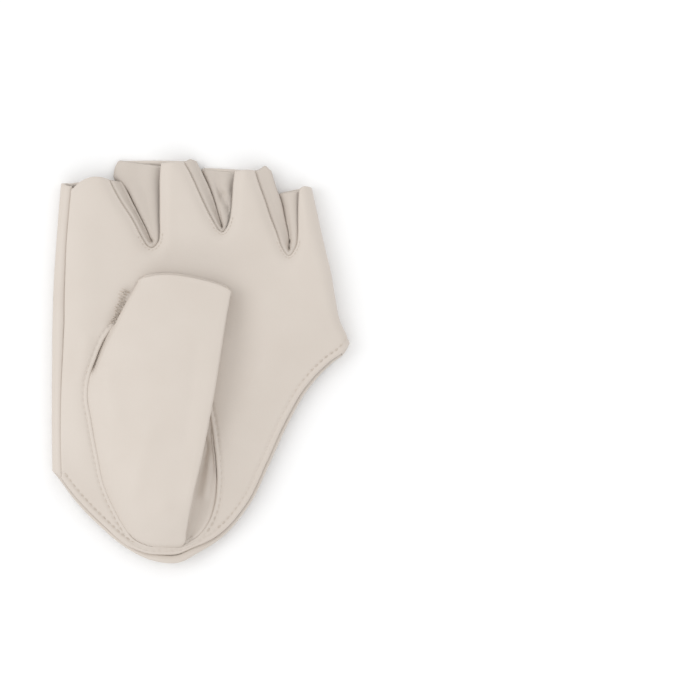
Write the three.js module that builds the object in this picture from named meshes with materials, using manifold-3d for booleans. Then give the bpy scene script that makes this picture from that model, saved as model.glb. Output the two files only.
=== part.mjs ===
// A fingerless leather glove for the left hand, lying palm up on a table with its thumb folded over the palm.
// Millimetres. +Z is up, +Y points to the fingers, +X to the little finger, and the back lies on z = 0.
import * as THREE from "three";
import { mergeVertices } from "three/addons/utils/BufferGeometryUtils.js";
import Module from "manifold-3d";

const wasm = await Module();
wasm.setup();

// Driving dimensions
const LEATHER = 1.2; // thickness of the leather
const SEAM_GAP = 0.3; // room between two pieces that are sewn together
const BODY_HEIGHT = 10; // height of the flattened hand at the middle of the palm
const TIP_HEIGHT = 9.4; // height at the finger openings
const WRIST_HEIGHT = 7.6; // height at the wrist opening
const WRIST_SLOPE = 20; // how far from the wrist edge the palm takes to rise to its full height
const SEAM_HEIGHT = 7.4; // height of the closing seam on the index side
const SEAM_ROLL = 12; // how far from the closing seam the palm takes to rise to its full height
const NOTCH_DROP = 1.5; // how far the palm's edge rolls down at the finger openings' sides
const NOTCH_ROLL = 6; // width of that roll
const BACK_STEP = 2; // how far the back's hem shows past the palm's at the wrist
const SLIT = 0.8; // width of the gaps between the finger backs
const FOURCHETTE_TUCK = 0.9; // how far a fourchette's edges lie inside the edges that they are sewn to
const FOURCHETTE_INSET = 0.6; // how far a fourchette's ends lie inside the finger openings
const THUMB_FLOOR = 7.6; // height of the thumb's seam allowance inside the hand
const THUMB_END = 2; // thickness of the thumb's closed end
const THUMB_KNEE = 0.42; // share of the crease's height at which the thumb's side turns in to its foot

// The two sides of the hand: outermost line on the index side, closing seam, and outermost line opposite.
const SIDES = [
  { y: -48, index: -56.2, seam: -52.4, little: 57.2 },
  { y: -31, index: -56.5, seam: -52.8, little: 57.2 },
  { y: -8, index: -56.2, seam: -52.1, little: 57.2 },
  { y: 4, index: -56, seam: -51.6, little: 56.8 },
  { y: 9, index: -55.9, seam: -51.4, little: 55.4 },
  { y: 13, index: -55.8, seam: -51.2, little: 53.4 },
  { y: 24, index: -55.4, seam: -50.8, little: 50.2 },
  { y: 42, index: -54.3, seam: -49.8, little: 46.2 },
  { y: 66, index: -52.4, seam: -47.9, little: 41.9 },
];

// The open ends of the fingers: left and right corners of the palm side (front) and of the back, and how far
// the edge between them bows out.
const FINGERS = [
  { front: [-47.9, 65.4], frontEnd: [-34.4, 68.4], back: [-52.4, 66.4], backEnd: [-31, 67.8], bow: 2 },
  { front: [-15.2, 74.6], frontEnd: [-4.4, 75], back: [-32.2, 75.4], backEnd: [0.2, 74.4], bow: 0.6 },
  { front: [12.9, 71.6], frontEnd: [20.5, 72], back: [2, 71.2], backEnd: [26.6, 72.6], bow: 0.6 },
  { front: [37.2, 64.6], frontEnd: [41.8, 65.6], back: [30.6, 63], backEnd: [41.8, 65.6], bow: 0.4 },
];

// The lowest points between the fingers, on the palm side (x, y and width across) and on the back.
const NOTCHES = [
  { x: -18.9, y: 42.8, width: 5, backX: -19.4, backY: 44.3 },
  { x: 7.8, y: 48.1, width: 4.2, backX: 7.6, backY: 49.2 },
  { x: 33.2, y: 39.5, width: 4.2, backX: 33.8, backY: 42.8 },
];

// The wrist edge of the back, from the index side round to the little finger's side.
const WRIST = [
  { x: -62, y: -36 },
  { x: -56.2, y: -42.4 },
  { x: -49, y: -52 },
  { x: -38.4, y: -63.3 },
  { x: -27, y: -72.4 },
  { x: -19.4, y: -76 },
  { x: -8, y: -77 },
  { x: -1, y: -73.4 },
  { x: 7.2, y: -68.2 },
  { x: 18.6, y: -54.9 },
  { x: 26.2, y: -39.3 },
  { x: 33.8, y: -23 },
  { x: 41, y: -10.8 },
  { x: 50, y: -1.2 },
  { x: 54.4, y: 2.1 },
  { x: 56.8, y: 5.4 },
  { x: 58.4, y: 9.4 },
  { x: 63, y: 14 },
];

// The seam round the thumb's opening in the palm.
const THUMB_SEAM = [
  { x: -25.6, y: 24 },
  { x: -35.4, y: 4 },
  { x: -42.6, y: -9 },
  { x: -41.4, y: -25 },
  { x: -37.2, y: -42.8 },
  { x: -31.5, y: -59.5 },
  { x: -21, y: -68.6 },
  { x: -5, y: -69.2 },
  { x: 3.4, y: -63 },
  { x: 6.6, y: -46 },
  { x: 4.6, y: -22 },
  { x: -3, y: -2 },
  { x: -14, y: 14 },
];

// The thumb, section by section: its left side and the heel below it, its crease on the right and the foot
// below that, with the heights above the palm of the left side, of the crown and of the crease.
const THUMB = [
  { y: -68.8, left: -22.6, heel: -22.6, crease: -6.6, foot: -2, side: 0.3, crown: 1.1, fold: 0.8 },
  { y: -66, left: -26, heel: -26, crease: -5.8, foot: 2, side: 0.5, crown: 3.4, fold: 3.2 },
  { y: -62, left: -29.8, heel: -29.8, crease: -4.8, foot: 3.8, side: 0.6, crown: 5.5, fold: 5.3 },
  { y: -53, left: -34.4, heel: -34.4, crease: -2.3, foot: 6, side: 0.7, crown: 8, fold: 7.8 },
  { y: -38, left: -38.8, heel: -38.8, crease: 1.9, foot: 6.3, side: 0.9, crown: 9.4, fold: 9.2 },
  { y: -23, left: -41.6, heel: -41.6, crease: 4, foot: 4.6, side: 1, crown: 9.8, fold: 9.4 },
  { y: -8, left: -42.6, heel: -42.4, crease: 5.8, foot: 1.6, side: 1.3, crown: 9.8, fold: 9 },
  { y: 4, left: -38, heel: -35.4, crease: 7.6, foot: 1, side: 2.4, crown: 9.5, fold: 8.4 },
  { y: 13, left: -33.4, heel: -30.4, crease: 8.8, foot: 1.4, side: 3.2, crown: 9.3, fold: 7.8 },
  { y: 24, left: -28, heel: -24.8, crease: 10.4, foot: 2.4, side: 3.8, crown: 8.9, fold: 7 },
  { y: 36, left: -23, heel: -19.6, crease: 12, foot: 3.6, side: 4, crown: 8.7, fold: 6.6 },
];

// The edge of the thumb's mouth: its two ends, and the point that it bends towards.
const THUMB_MOUTH = { left: [-29, 25], top: [-15, 36.5], right: [12.6, 25.6] };

// Space round the glove, for sheets and outlines that are larger than the piece that is cut from them
const LOW_END = -82;
const HIGH_END = 82;
const OUTSIDE = 66;
const CUT_TALL = 60;
const UNDER_THUMB = { left: -60, right: 30, high: 50, floor: -10 };

// How finely the curved forms are divided
const DIVISIONS = {
  wrist: 56,
  curve: 5,
  palm: { across: 30, roll: 8, along: 42 },
  back: { roll: 10, across: 3, along: 24 },
  fourchette: { side: 5, turn: 6 },
  thumb: { seam: 40, across: 9, along: 20, mouth: 10 },
  underThumb: { across: 22, along: 26 },
};

const CREAM_PALM = 0xd9d0c6;
const CREAM_BACK = 0xd3cbc0;
const CREAM_THUMB = 0xdad2ca;
const CREAM_SHADE = 0xcfc4ba;

// Numeric helpers
const lerp = (a, b, t) => a + (b - a) * t;
const steps = (count) => Array.from({ length: count + 1 }, (_, i) => i / count);

function ease(from, to, value) {
  return THREE.MathUtils.smoothstep(value, from, to);
}

// Reads a table as smooth curves along its y column.
function smoothTable(rows) {
  const columns = Object.keys(rows[0]).filter((name) => name !== "y");
  const at = rows.map((row) => row.y);
  const values = rows.flatMap((row) => columns.map((name) => row[name]));
  const spline = new THREE.CubicInterpolant(at, values, columns.length, new Float64Array(columns.length));
  return (y) => {
    const found = spline.evaluate(y);
    return Object.fromEntries(columns.map((name, i) => [name, found[i]]));
  };
}

const sidesAt = smoothTable(SIDES);
const thumbAt = smoothTable(THUMB);

const wristCurve = new THREE.SplineCurve(WRIST.map(({ x, y }) => new THREE.Vector2(x, y)));

// The wrist edge, moved up into the glove by a distance.
function wristEdge(distance) {
  return steps(DIVISIONS.wrist).map((t) => {
    const tangent = wristCurve.getTangent(t);
    return wristCurve.getPoint(t).add(new THREE.Vector2(-tangent.y, tangent.x).multiplyScalar(distance));
  });
}

const palmWrist = wristEdge(BACK_STEP);

// Solids
function solidOf(geometry) {
  geometry.deleteAttribute("normal");
  geometry.deleteAttribute("uv");
  const merged = mergeVertices(geometry, 1e-4);
  return new wasm.Manifold(
    new wasm.Mesh({
      numProp: 3,
      vertProperties: new Float32Array(merged.attributes.position.array),
      triVerts: new Uint32Array(merged.index.array),
    }),
  );
}

function geometryOf(solid) {
  const { vertProperties, triVerts } = solid.getMesh();
  const geometry = new THREE.BufferGeometry();
  geometry.setAttribute("position", new THREE.BufferAttribute(vertProperties, 3));
  geometry.setIndex(new THREE.BufferAttribute(triVerts, 1));
  geometry.computeVertexNormals();
  return geometry;
}

// A closed geometry from rings of points that all have the same count, capped at both ends. A ring turns
// anticlockwise as seen from the last ring.
function loft(rings) {
  const around = rings[0].length;
  const centres = [rings[0], rings.at(-1)].map((ring) =>
    ring.reduce((sum, point) => sum.add(point), new THREE.Vector3()).divideScalar(around),
  );
  const positions = [...rings.flat(), ...centres].flatMap((point) => [point.x, point.y, point.z]);
  const index = [];
  const last = (rings.length - 1) * around;
  const firstCentre = rings.length * around;
  for (let i = 0; i < around; i += 1) {
    const next = (i + 1) % around;
    for (let row = 0; row < last; row += around) {
      index.push(row + i, row + next, row + next + around);
      index.push(row + i, row + next + around, row + i + around);
    }
    index.push(firstCentre, next, i);
    index.push(firstCentre + 1, last + i, last + next);
  }
  const geometry = new THREE.BufferGeometry();
  geometry.setAttribute("position", new THREE.Float32BufferAttribute(positions, 3));
  geometry.setIndex(index);
  return geometry;
}

function prism(shape, curveSegments = DIVISIONS.curve) {
  const geometry = new THREE.ExtrudeGeometry(shape, { depth: CUT_TALL, bevelEnabled: false, curveSegments });
  return solidOf(geometry.translate(0, 0, -CUT_TALL / 2));
}

// A leather sheet of even thickness round a middle surface, which is a function of two numbers from 0 to 1.
function sheet(middle, across, along) {
  const nudge = 1e-3;
  const normalAt = (u, v) => {
    const du = middle(Math.min(u + nudge, 1), v).sub(middle(Math.max(u - nudge, 0), v));
    const dv = middle(u, Math.min(v + nudge, 1)).sub(middle(u, Math.max(v - nudge, 0)));
    return du.cross(dv).normalize();
  };
  const rings = along.map((v) => {
    const outer = across.map((u) => middle(u, v).addScaledVector(normalAt(u, v), LEATHER / 2));
    const inner = across.map((u) => middle(u, v).addScaledVector(normalAt(u, v), -LEATHER / 2));
    return [...outer, ...inner.reverse()];
  });
  return solidOf(loft(rings));
}

// Moves each corner of a closed flat outline inwards by a distance. The outline turns anticlockwise. A sharp
// corner moves no further than the distance over the least share.
function inset(points, distance) {
  const leastShare = 0.35;
  return points.map((point, i) => {
    const before = points[(i + points.length - 1) % points.length];
    const after = points[(i + 1) % points.length];
    const arriving = point.clone().sub(before).normalize();
    const leaving = after.clone().sub(point).normalize();
    const inwards = new THREE.Vector2(-arriving.y - leaving.y, arriving.x + leaving.x).normalize();
    const share = Math.max(leastShare, inwards.dot(new THREE.Vector2(-leaving.y, leaving.x)));
    return point.clone().addScaledVector(inwards, distance / share);
  });
}

// The hand's height
// Sides of the gap between two fingers on the palm side, at a height y.
function notchSides(i, y) {
  const notch = NOTCHES[i];
  const [leftX, leftY] = FINGERS[i].frontEnd;
  const [rightX, rightY] = FINGERS[i + 1].front;
  const rise = Math.max(0, y - notch.y);
  return {
    left: lerp(notch.x - notch.width / 2, leftX, rise / (leftY - notch.y)),
    right: lerp(notch.x + notch.width / 2, rightX, rise / (rightY - notch.y)),
  };
}

// How far a point lies from the nearest gap between two fingers.
function distanceToNotch(x, y) {
  const distances = NOTCHES.map((notch, i) => {
    const { left, right } = notchSides(i, y);
    const aside = Math.max(left - x, x - right, 0);
    const below = Math.max(notch.y - y, 0);
    return Math.hypot(aside, below);
  });
  return Math.min(...distances);
}

// How far a point lies from the wrist edge of the palm.
function distanceToWrist(x, y) {
  return Math.min(...palmWrist.map((point) => Math.hypot(point.x - x, point.y - y)));
}

// Height of the palm's middle surface, without its roll at the little finger's side.
function palmMiddle(x, y) {
  const { seam } = sidesAt(y);
  const tips = lerp(BODY_HEIGHT, TIP_HEIGHT, ease(10, 60, y));
  const plateau = lerp(WRIST_HEIGHT, tips, ease(0, WRIST_SLOPE, distanceToWrist(x, y)));
  const fromSeam = THREE.MathUtils.clamp((x - seam) / SEAM_ROLL, 0, 1);
  const risen = lerp(SEAM_HEIGHT, plateau, 1 - (1 - fromSeam) ** 2);
  const drop = NOTCH_DROP * (1 - ease(0, NOTCH_ROLL, distanceToNotch(x, y))) ** 2;
  return risen - drop - LEATHER / 2;
}

const palmTop = (x, y) => palmMiddle(x, y) + LEATHER / 2;
const palmUnder = (x, y) => palmMiddle(x, y) - LEATHER / 2;

// Where the palm starts to roll round the little finger's side, and the radius of that roll.
function littleRoll(y) {
  const { little } = sidesAt(y);
  const nearStart = little - BODY_HEIGHT / 2;
  const radius = (palmMiddle(nearStart, y) - LEATHER / 2) / 2;
  return { start: little - radius - LEATHER / 2, radius };
}

// Where the back starts to roll up on the index side, and the radius of that roll.
function indexRoll(y) {
  const { index } = sidesAt(y);
  const radius = (SEAM_HEIGHT - LEATHER) / 2;
  return { start: index + radius + LEATHER / 2, radius };
}

// Outlines in plan
// The outline of one side of the glove: its wrist edge, then its fingers and the gaps between them.
function panelOutline(wrist, corners, gaps) {
  const shape = new THREE.Shape();
  shape.moveTo(-OUTSIDE, wrist[0].y);
  for (const point of wrist) shape.lineTo(point.x, point.y);
  shape.lineTo(OUTSIDE, wrist.at(-1).y);
  shape.lineTo(OUTSIDE, corners.at(-1).right[1]);
  for (let i = corners.length - 1; i >= 0; i -= 1) {
    const { left, right, bow } = corners[i];
    shape.lineTo(right[0], right[1]);
    const bend = [lerp(left[0], right[0], 0.5), lerp(left[1], right[1], 0.5) + 2 * bow];
    shape.quadraticCurveTo(bend[0], bend[1], left[0], left[1]);
    if (i > 0) {
      const { x, y, width } = gaps[i - 1];
      shape.lineTo(x + width / 2, y + width / 2);
      shape.absarc(x, y + width / 2, width / 2, 0, Math.PI, true);
    }
  }
  shape.lineTo(-OUTSIDE, corners[0].left[1]);
  return shape;
}

function palmOutline() {
  const corners = FINGERS.map(({ front, frontEnd, bow }) => ({ left: front, right: frontEnd, bow }));
  return panelOutline(palmWrist, corners, NOTCHES);
}

function backOutline() {
  const corners = FINGERS.map(({ back, backEnd, bow }) => ({ left: back, right: backEnd, bow: bow / 2 }));
  const gaps = NOTCHES.map(({ backX, backY }) => ({ x: backX, y: backY, width: SLIT }));
  return panelOutline(wristEdge(0), corners, gaps);
}

const thumbCurve = new THREE.CatmullRomCurve3(
  THUMB_SEAM.map(({ x, y }) => new THREE.Vector3(x, y, 0)),
  true,
  "centripetal",
);

// The thumb's opening, made smaller all round by a distance.
function thumbOpening(distance) {
  const seam = thumbCurve.getPoints(DIVISIONS.thumb.seam).slice(0, -1);
  return new THREE.Shape(inset(seam.map(({ x, y }) => new THREE.Vector2(x, y)), distance));
}

// Pieces
// The palm: a sheet from the closing seam across the hand, then round the little finger's side to the floor.
function makePalm() {
  const rollShare = 0.82; // share of the sheet's width before its roll
  const middle = (u, v) => {
    const y = lerp(LOW_END, HIGH_END, v);
    const { start, radius } = littleRoll(y);
    if (u <= rollShare) {
      const x = lerp(sidesAt(y).seam + SEAM_GAP / 2, start, u / rollShare);
      return new THREE.Vector3(x, y, palmMiddle(x, y));
    }
    const angle = ((u - rollShare) / (1 - rollShare)) * Math.PI;
    const centre = LEATHER / 2 + radius;
    return new THREE.Vector3(start + radius * Math.sin(angle), y, centre + radius * Math.cos(angle));
  };
  const across = [
    ...steps(DIVISIONS.palm.across).map((t) => t * rollShare),
    ...steps(DIVISIONS.palm.roll).slice(1).map((t) => lerp(rollShare, 1, t)),
  ];
  return sheet(middle, across, steps(DIVISIONS.palm.along))
    .intersect(prism(palmOutline()))
    .subtract(prism(thumbOpening(0)));
}

// The back: flat on the floor, and rolled up on the index side to the closing seam.
function makeBack() {
  const rollShare = 0.4; // share of the sheet's width that is its roll
  const middle = (u, v) => {
    const y = lerp(LOW_END, HIGH_END, v);
    const { start, radius } = indexRoll(y);
    if (u >= rollShare) {
      const x = lerp(start, littleRoll(y).start - SEAM_GAP, (u - rollShare) / (1 - rollShare));
      return new THREE.Vector3(x, y, LEATHER / 2);
    }
    const { seam } = sidesAt(y);
    const fullTurn = Math.PI + Math.asin((seam - SEAM_GAP / 2 - start) / radius);
    const angle = (1 - u / rollShare) * fullTurn;
    const height = LEATHER / 2 + radius * (1 - Math.cos(angle));
    return new THREE.Vector3(start - radius * Math.sin(angle), y, height);
  };
  const across = [
    ...steps(DIVISIONS.back.roll).map((t) => t * rollShare),
    ...steps(DIVISIONS.back.across).slice(1).map((t) => lerp(rollShare, 1, t)),
  ];
  return sheet(middle, across, steps(DIVISIONS.back.along)).intersect(prism(backOutline()));
}

// The strip between two fingers: down the side of one finger, round the bottom of the gap and up the next.
function makeFourchette(i) {
  const notch = NOTCHES[i];
  const [leftTip, rightTip] = [FINGERS[i].frontEnd, FINGERS[i + 1].front];
  const [leftBack, rightBack] = [FINGERS[i].backEnd, FINGERS[i + 1].back];
  const topRadius = notch.width / 2 + FOURCHETTE_TUCK;
  const lowRadius = SLIT / 2 + FOURCHETTE_TUCK;
  const stations = [];
  const add = (topX, topY, lowX, lowY) =>
    stations.push({
      top: new THREE.Vector3(topX, topY, palmUnder(topX, topY) - SEAM_GAP),
      low: new THREE.Vector3(lowX, lowY, LEATHER + SEAM_GAP),
    });
  for (const t of steps(DIVISIONS.fourchette.side)) {
    add(
      lerp(leftTip[0] - FOURCHETTE_TUCK, notch.x - topRadius, t),
      lerp(leftTip[1] - FOURCHETTE_INSET, notch.y + notch.width / 2, t),
      lerp(leftBack[0] - FOURCHETTE_TUCK, notch.backX - lowRadius, t),
      lerp(leftBack[1] - FOURCHETTE_INSET, notch.backY + SLIT / 2, t),
    );
  }
  for (const t of steps(DIVISIONS.fourchette.turn).slice(1, -1)) {
    const angle = Math.PI * (1 + t);
    add(
      notch.x + topRadius * Math.cos(angle),
      notch.y + notch.width / 2 + topRadius * Math.sin(angle),
      notch.backX + lowRadius * Math.cos(angle),
      notch.backY + SLIT / 2 + lowRadius * Math.sin(angle),
    );
  }
  for (const t of steps(DIVISIONS.fourchette.side).reverse()) {
    add(
      lerp(rightTip[0] + FOURCHETTE_TUCK, notch.x + topRadius, t),
      lerp(rightTip[1] - FOURCHETTE_INSET, notch.y + notch.width / 2, t),
      lerp(rightBack[0] + FOURCHETTE_TUCK, notch.backX + lowRadius, t),
      lerp(rightBack[1] - FOURCHETTE_INSET, notch.backY + SLIT / 2, t),
    );
  }
  const rings = stations.map(({ top, low }, k) => {
    const before = stations[Math.max(k - 1, 0)];
    const after = stations[Math.min(k + 1, stations.length - 1)];
    const along = after.top.clone().add(after.low).sub(before.top).sub(before.low);
    const side = along.cross(low.clone().sub(top)).setZ(0).normalize().multiplyScalar(LEATHER / 2);
    return [
      low.clone().sub(side),
      low.clone().add(side),
      top.clone().add(side),
      top.clone().sub(side),
    ];
  });
  return solidOf(loft(rings));
}

// One section of the thumb across the palm, from its left side over the crown to the crease and the foot.
function thumbSection(y, smaller, floor) {
  const { left, heel, crease, foot, side, crown, fold } = thumbAt(y);
  const palm = palmTop(lerp(left, crease, 0.5), y);
  const bulge = crown - lerp(side, fold, 0.6);
  const upper = steps(DIVISIONS.thumb.across).map((t) => {
    const rise = lerp(side, fold, 1 - (1 - t) ** 2);
    const swell = bulge * (1 - Math.abs(2 * t - 1) ** 2.2);
    return new THREE.Vector2(lerp(left, crease, t ** 1.25), palm + rise + swell);
  });
  const outline = [
    new THREE.Vector2(heel, THUMB_FLOOR),
    new THREE.Vector2(foot, THUMB_FLOOR),
    new THREE.Vector2(foot, palm),
    new THREE.Vector2(lerp(foot, crease, 0.6), palm + fold * THUMB_KNEE),
    ...upper.reverse(),
    new THREE.Vector2(heel, palm),
  ];
  const moved = smaller > 0 ? inset(outline, smaller) : outline;
  moved[0].y = floor;
  moved[1].y = floor;
  return moved.map((point) => new THREE.Vector3(point.x, y, point.y));
}

// What lies under the thumb outside its opening: the palm, thickened upwards by a clearance.
function underThumb(clearance, openingInset) {
  const { left, right, high, floor } = UNDER_THUMB;
  const rings = steps(DIVISIONS.underThumb.along).map((v) => {
    const y = lerp(LOW_END, high, v);
    const top = steps(DIVISIONS.underThumb.across).map((u) => {
      const x = lerp(left, right, u);
      return new THREE.Vector3(x, y, palmTop(x, y) + clearance);
    });
    return [...top, new THREE.Vector3(right, y, floor), new THREE.Vector3(left, y, floor)];
  });
  return solidOf(loft(rings)).subtract(prism(thumbOpening(openingInset)));
}

// The outline of all that lies on the palm's side of the thumb's mouth.
function thumbReach() {
  const { left, top, right } = THUMB_MOUTH;
  const shape = new THREE.Shape();
  shape.moveTo(-OUTSIDE, LOW_END);
  shape.lineTo(OUTSIDE, LOW_END);
  shape.lineTo(OUTSIDE, right[1]);
  shape.lineTo(right[0], right[1]);
  shape.quadraticCurveTo(top[0], top[1], left[0], left[1]);
  shape.lineTo(-OUTSIDE, left[1]);
  return shape;
}

// The thumb: a skin from its seam over the crown to its mouth, hollow from its mouth to the palm's opening.
function makeThumb() {
  const rowsDownTo = (low) => steps(DIVISIONS.thumb.along).map((t) => lerp(THUMB.at(-1).y, low, t));
  const belowFloor = THUMB_FLOOR - 4; // the hollow's cutter goes on below the skin
  const outer = loft(rowsDownTo(THUMB[0].y).map((y) => thumbSection(y, 0, THUMB_FLOOR)));
  const inner = loft(rowsDownTo(THUMB[0].y + THUMB_END).map((y) => thumbSection(y, LEATHER, belowFloor)));
  const skin = solidOf(outer).subtract(underThumb(SEAM_GAP, SEAM_GAP));
  const hollow = solidOf(inner).subtract(underThumb(SEAM_GAP + LEATHER, SEAM_GAP + LEATHER));
  return skin.subtract(hollow).intersect(prism(thumbReach(), DIVISIONS.thumb.mouth));
}

// Assembly
const glove = new THREE.Group();

function addPiece(name, solid, color) {
  const material = new THREE.MeshStandardMaterial({ color, roughness: 0.55, metalness: 0 });
  const mesh = new THREE.Mesh(geometryOf(solid), material);
  mesh.name = name;
  glove.add(mesh);
}

addPiece("palm_panel", makePalm(), CREAM_PALM);
addPiece("back_panel", makeBack(), CREAM_BACK);
addPiece("thumb", makeThumb(), CREAM_THUMB);
["index_middle", "middle_ring", "ring_little"].forEach((place, i) =>
  addPiece(`fourchette_${place}`, makeFourchette(i), CREAM_SHADE),
);

// The origin is under the middle of the glove.
const bounds = new THREE.Box3().setFromObject(glove);
const middle = bounds.getCenter(new THREE.Vector3());
glove.position.set(-middle.x, -middle.y, 0);

export default glove;
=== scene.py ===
"""A fingerless leather glove for the left hand, lying palm up with its thumb folded over the palm."""

import math

import bmesh
import bpy
import numpy as np
from bpy.props import FloatProperty, FloatVectorProperty, PointerProperty
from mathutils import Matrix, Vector, kdtree
from mathutils.geometry import delaunay_2d_cdt


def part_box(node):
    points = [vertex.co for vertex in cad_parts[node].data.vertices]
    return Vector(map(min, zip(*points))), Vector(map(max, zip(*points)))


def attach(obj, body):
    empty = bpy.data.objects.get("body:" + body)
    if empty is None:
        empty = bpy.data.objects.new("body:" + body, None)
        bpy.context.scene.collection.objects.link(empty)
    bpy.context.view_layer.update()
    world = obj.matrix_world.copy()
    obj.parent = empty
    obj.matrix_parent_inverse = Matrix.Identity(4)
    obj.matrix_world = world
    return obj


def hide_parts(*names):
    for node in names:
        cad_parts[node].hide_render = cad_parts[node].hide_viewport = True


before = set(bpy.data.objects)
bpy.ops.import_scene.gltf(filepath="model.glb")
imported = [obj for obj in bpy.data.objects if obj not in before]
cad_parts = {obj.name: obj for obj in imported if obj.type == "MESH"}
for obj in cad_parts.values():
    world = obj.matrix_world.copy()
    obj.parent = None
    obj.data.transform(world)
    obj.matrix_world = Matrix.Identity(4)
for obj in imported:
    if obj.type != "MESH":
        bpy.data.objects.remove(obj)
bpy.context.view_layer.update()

bl_info = {
    "name": "Fingerless Leather Glove",
    "version": (1, 0, 0),
    "blender": (4, 5, 0),
    "location": "3D View > Sidebar > Glove",
    "description": "Builds a fingerless leather glove, panel by panel and stitch by stitch",
    "category": "Object",
}

# Places below are in millimetres on the pattern maker's drawing: +X to the little finger, +Y to the fingers.
MM = 0.001  # metres in a millimetre


# Curves and numbers
def columns(names, rows):
    """A table as one array for each named column."""
    return dict(zip(names.split(), np.array(rows, float).T))


def ease(low, high, value):
    """0 below low, 1 above high and a soft step between them."""
    t = np.clip((value - low) / (high - low), 0, 1)
    return t * t * (3 - 2 * t)


def band(rise, fall, value):
    """1 between two soft steps, one up and one down, and 0 outside them."""
    return ease(*rise, value) * (1 - ease(*fall, value))


def mix(a, b, t):
    return a + (b - a) * t


def unit(vectors):
    return vectors / np.maximum(np.linalg.norm(vectors, axis=-1, keepdims=True), 1e-12)


def smooth(at, values, where):
    """Values on a smooth curve through a table's rows, constant past its ends."""
    slopes = np.gradient(values, at)
    where = np.clip(where, at[0], at[-1])
    i = np.clip(np.searchsorted(at, where) - 1, 0, len(at) - 2)
    span = at[i + 1] - at[i]
    t = (where - at[i]) / span
    start = (1 + 2 * t) * (1 - t) ** 2 * values[i] + t * (1 - t) ** 2 * span * slopes[i]
    end = t * t * (3 - 2 * t) * values[i + 1] + t * t * (t - 1) * span * slopes[i + 1]
    return start + end


def run_of(points):
    """How far along a line each of its points lies."""
    return np.concatenate([[0], np.cumsum(np.linalg.norm(np.diff(points, axis=0), axis=1))])


def at_run(points, steps):
    """Places on a line, given how far along it they lie."""
    run = run_of(points)
    return np.stack([np.interp(steps, run, column) for column in points.T], axis=1)


def even(points, spacing):
    """The same line with its points evenly spaced."""
    length = run_of(points)[-1]
    return at_run(points, np.linspace(0, length, max(int(length / spacing), 1) + 1))


def curve(points, closed=False):
    """Closely spaced points on a smooth curve through a few."""
    points = np.array(points, float)
    count = len(points)
    if closed:
        points = np.concatenate([points[-3:], points, points[:4]])
    run = run_of(points)
    first, last = (run[3], run[3 + count]) if closed else (run[0], run[-1])
    steps = np.linspace(first, last, 2400)
    return np.stack([smooth(run, column, steps) for column in points.T], axis=1)


def left_of(points):
    """Directions to the left of a line, at each of its points."""
    along = unit(np.gradient(points, axis=0))
    return np.stack([-along[:, 1], along[:, 0]], axis=1)


def bowed(a, b, bow):
    """A line from a to b that bows out to its left."""
    t = np.linspace(0, 1, 40)[:, None]
    a, b = np.array(a, float), np.array(b, float)
    aside = np.array([a[1] - b[1], b[0] - a[0]]) / np.linalg.norm(b - a)
    return mix(a, b, t) + aside * (4 * bow * t * (1 - t))


def from_stroke(x, y, start, end):
    """How far points lie from one straight stroke."""
    across, along = end[0] - start[0], end[1] - start[1]
    t = np.clip(((x - start[0]) * across + (y - start[1]) * along) / (across ** 2 + along ** 2), 0, 1)
    return np.hypot(x - start[0] - t * across, y - start[1] - t * along)


def folds(rows, x, y):
    """The height that soft folds add at a point."""
    total = np.zeros_like(x)
    for from_x, from_y, to_x, to_y, width, height in rows:
        total += height * np.exp(-(from_stroke(x, y, (from_x, from_y), (to_x, to_y)) / width) ** 2)
    return total


def distance(x, y, line):
    """How far points lie from a line."""
    return np.min([from_stroke(x, y, start, end) for start, end in zip(line, line[1:])], axis=0)


def nearest(points, line):
    """How far points lie from a closely spaced line, and how far along it they are."""
    tree = kdtree.KDTree(len(line))
    for i, (x, y) in enumerate(line):
        tree.insert((x, y, 0), i)
    tree.balance()
    found = np.array([tree.find((x, y, 0))[1] for x, y in points])
    run = run_of(line)
    best = np.full(len(points), np.inf)
    along = np.zeros(len(points))
    for step in (-1, 0):
        i = np.clip(found + step, 0, len(line) - 2)
        a, b = line[i], line[i + 1]
        t = np.clip(np.sum((points - a) * (b - a), axis=1) / np.sum((b - a) ** 2, axis=1), 0, 1)
        away = np.linalg.norm(points - mix(a, b, t[:, None]), axis=1)
        along = np.where(away < best, run[i] + t * (run[i + 1] - run[i]), along)
        best = np.minimum(best, away)
    return best, along


def inside(points, loops):
    """Which points lie inside the first loop and outside the others."""
    a = np.concatenate(loops)
    b = np.concatenate([np.roll(loop, -1, axis=0) for loop in loops])
    rise = np.where(b[:, 1] == a[:, 1], 1, b[:, 1] - a[:, 1])
    found = np.zeros(len(points), bool)
    for first in range(0, len(points), 2000):
        x, y = points[first:first + 2000, :1], points[first:first + 2000, 1:]
        crosses = (a[:, 1] > y) != (b[:, 1] > y)
        at = a[:, 0] + (y - a[:, 1]) * (b[:, 0] - a[:, 0]) / rise
        found[first:first + 2000] = np.sum(crosses & (x < at), axis=1) % 2 == 1
    return found


# The two sides of the hand: x of its outermost line on the index side, of the closing seam and of its
# outermost line on the little finger's side, at places along its length.
SIDES = columns("y index seam little", [
    (-48, -56.3, -52.8, 57.2),
    (-31, -56.6, -53.3, 57.2),
    (-8, -56.6, -52.9, 57.2),
    (4, -56.5, -52.3, 56.8),
    (9, -56.5, -52.1, 55.4),
    (13, -56.4, -51.9, 53.4),
    (24, -56.1, -51.8, 50.9),
    (33, -55.7, -51.5, 49.4),
    (42, -55.1, -51.2, 47.2),
    (54, -54.2, -50.3, 44.5),
    (66, -53.2, -49.2, 41.9),
])

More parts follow.
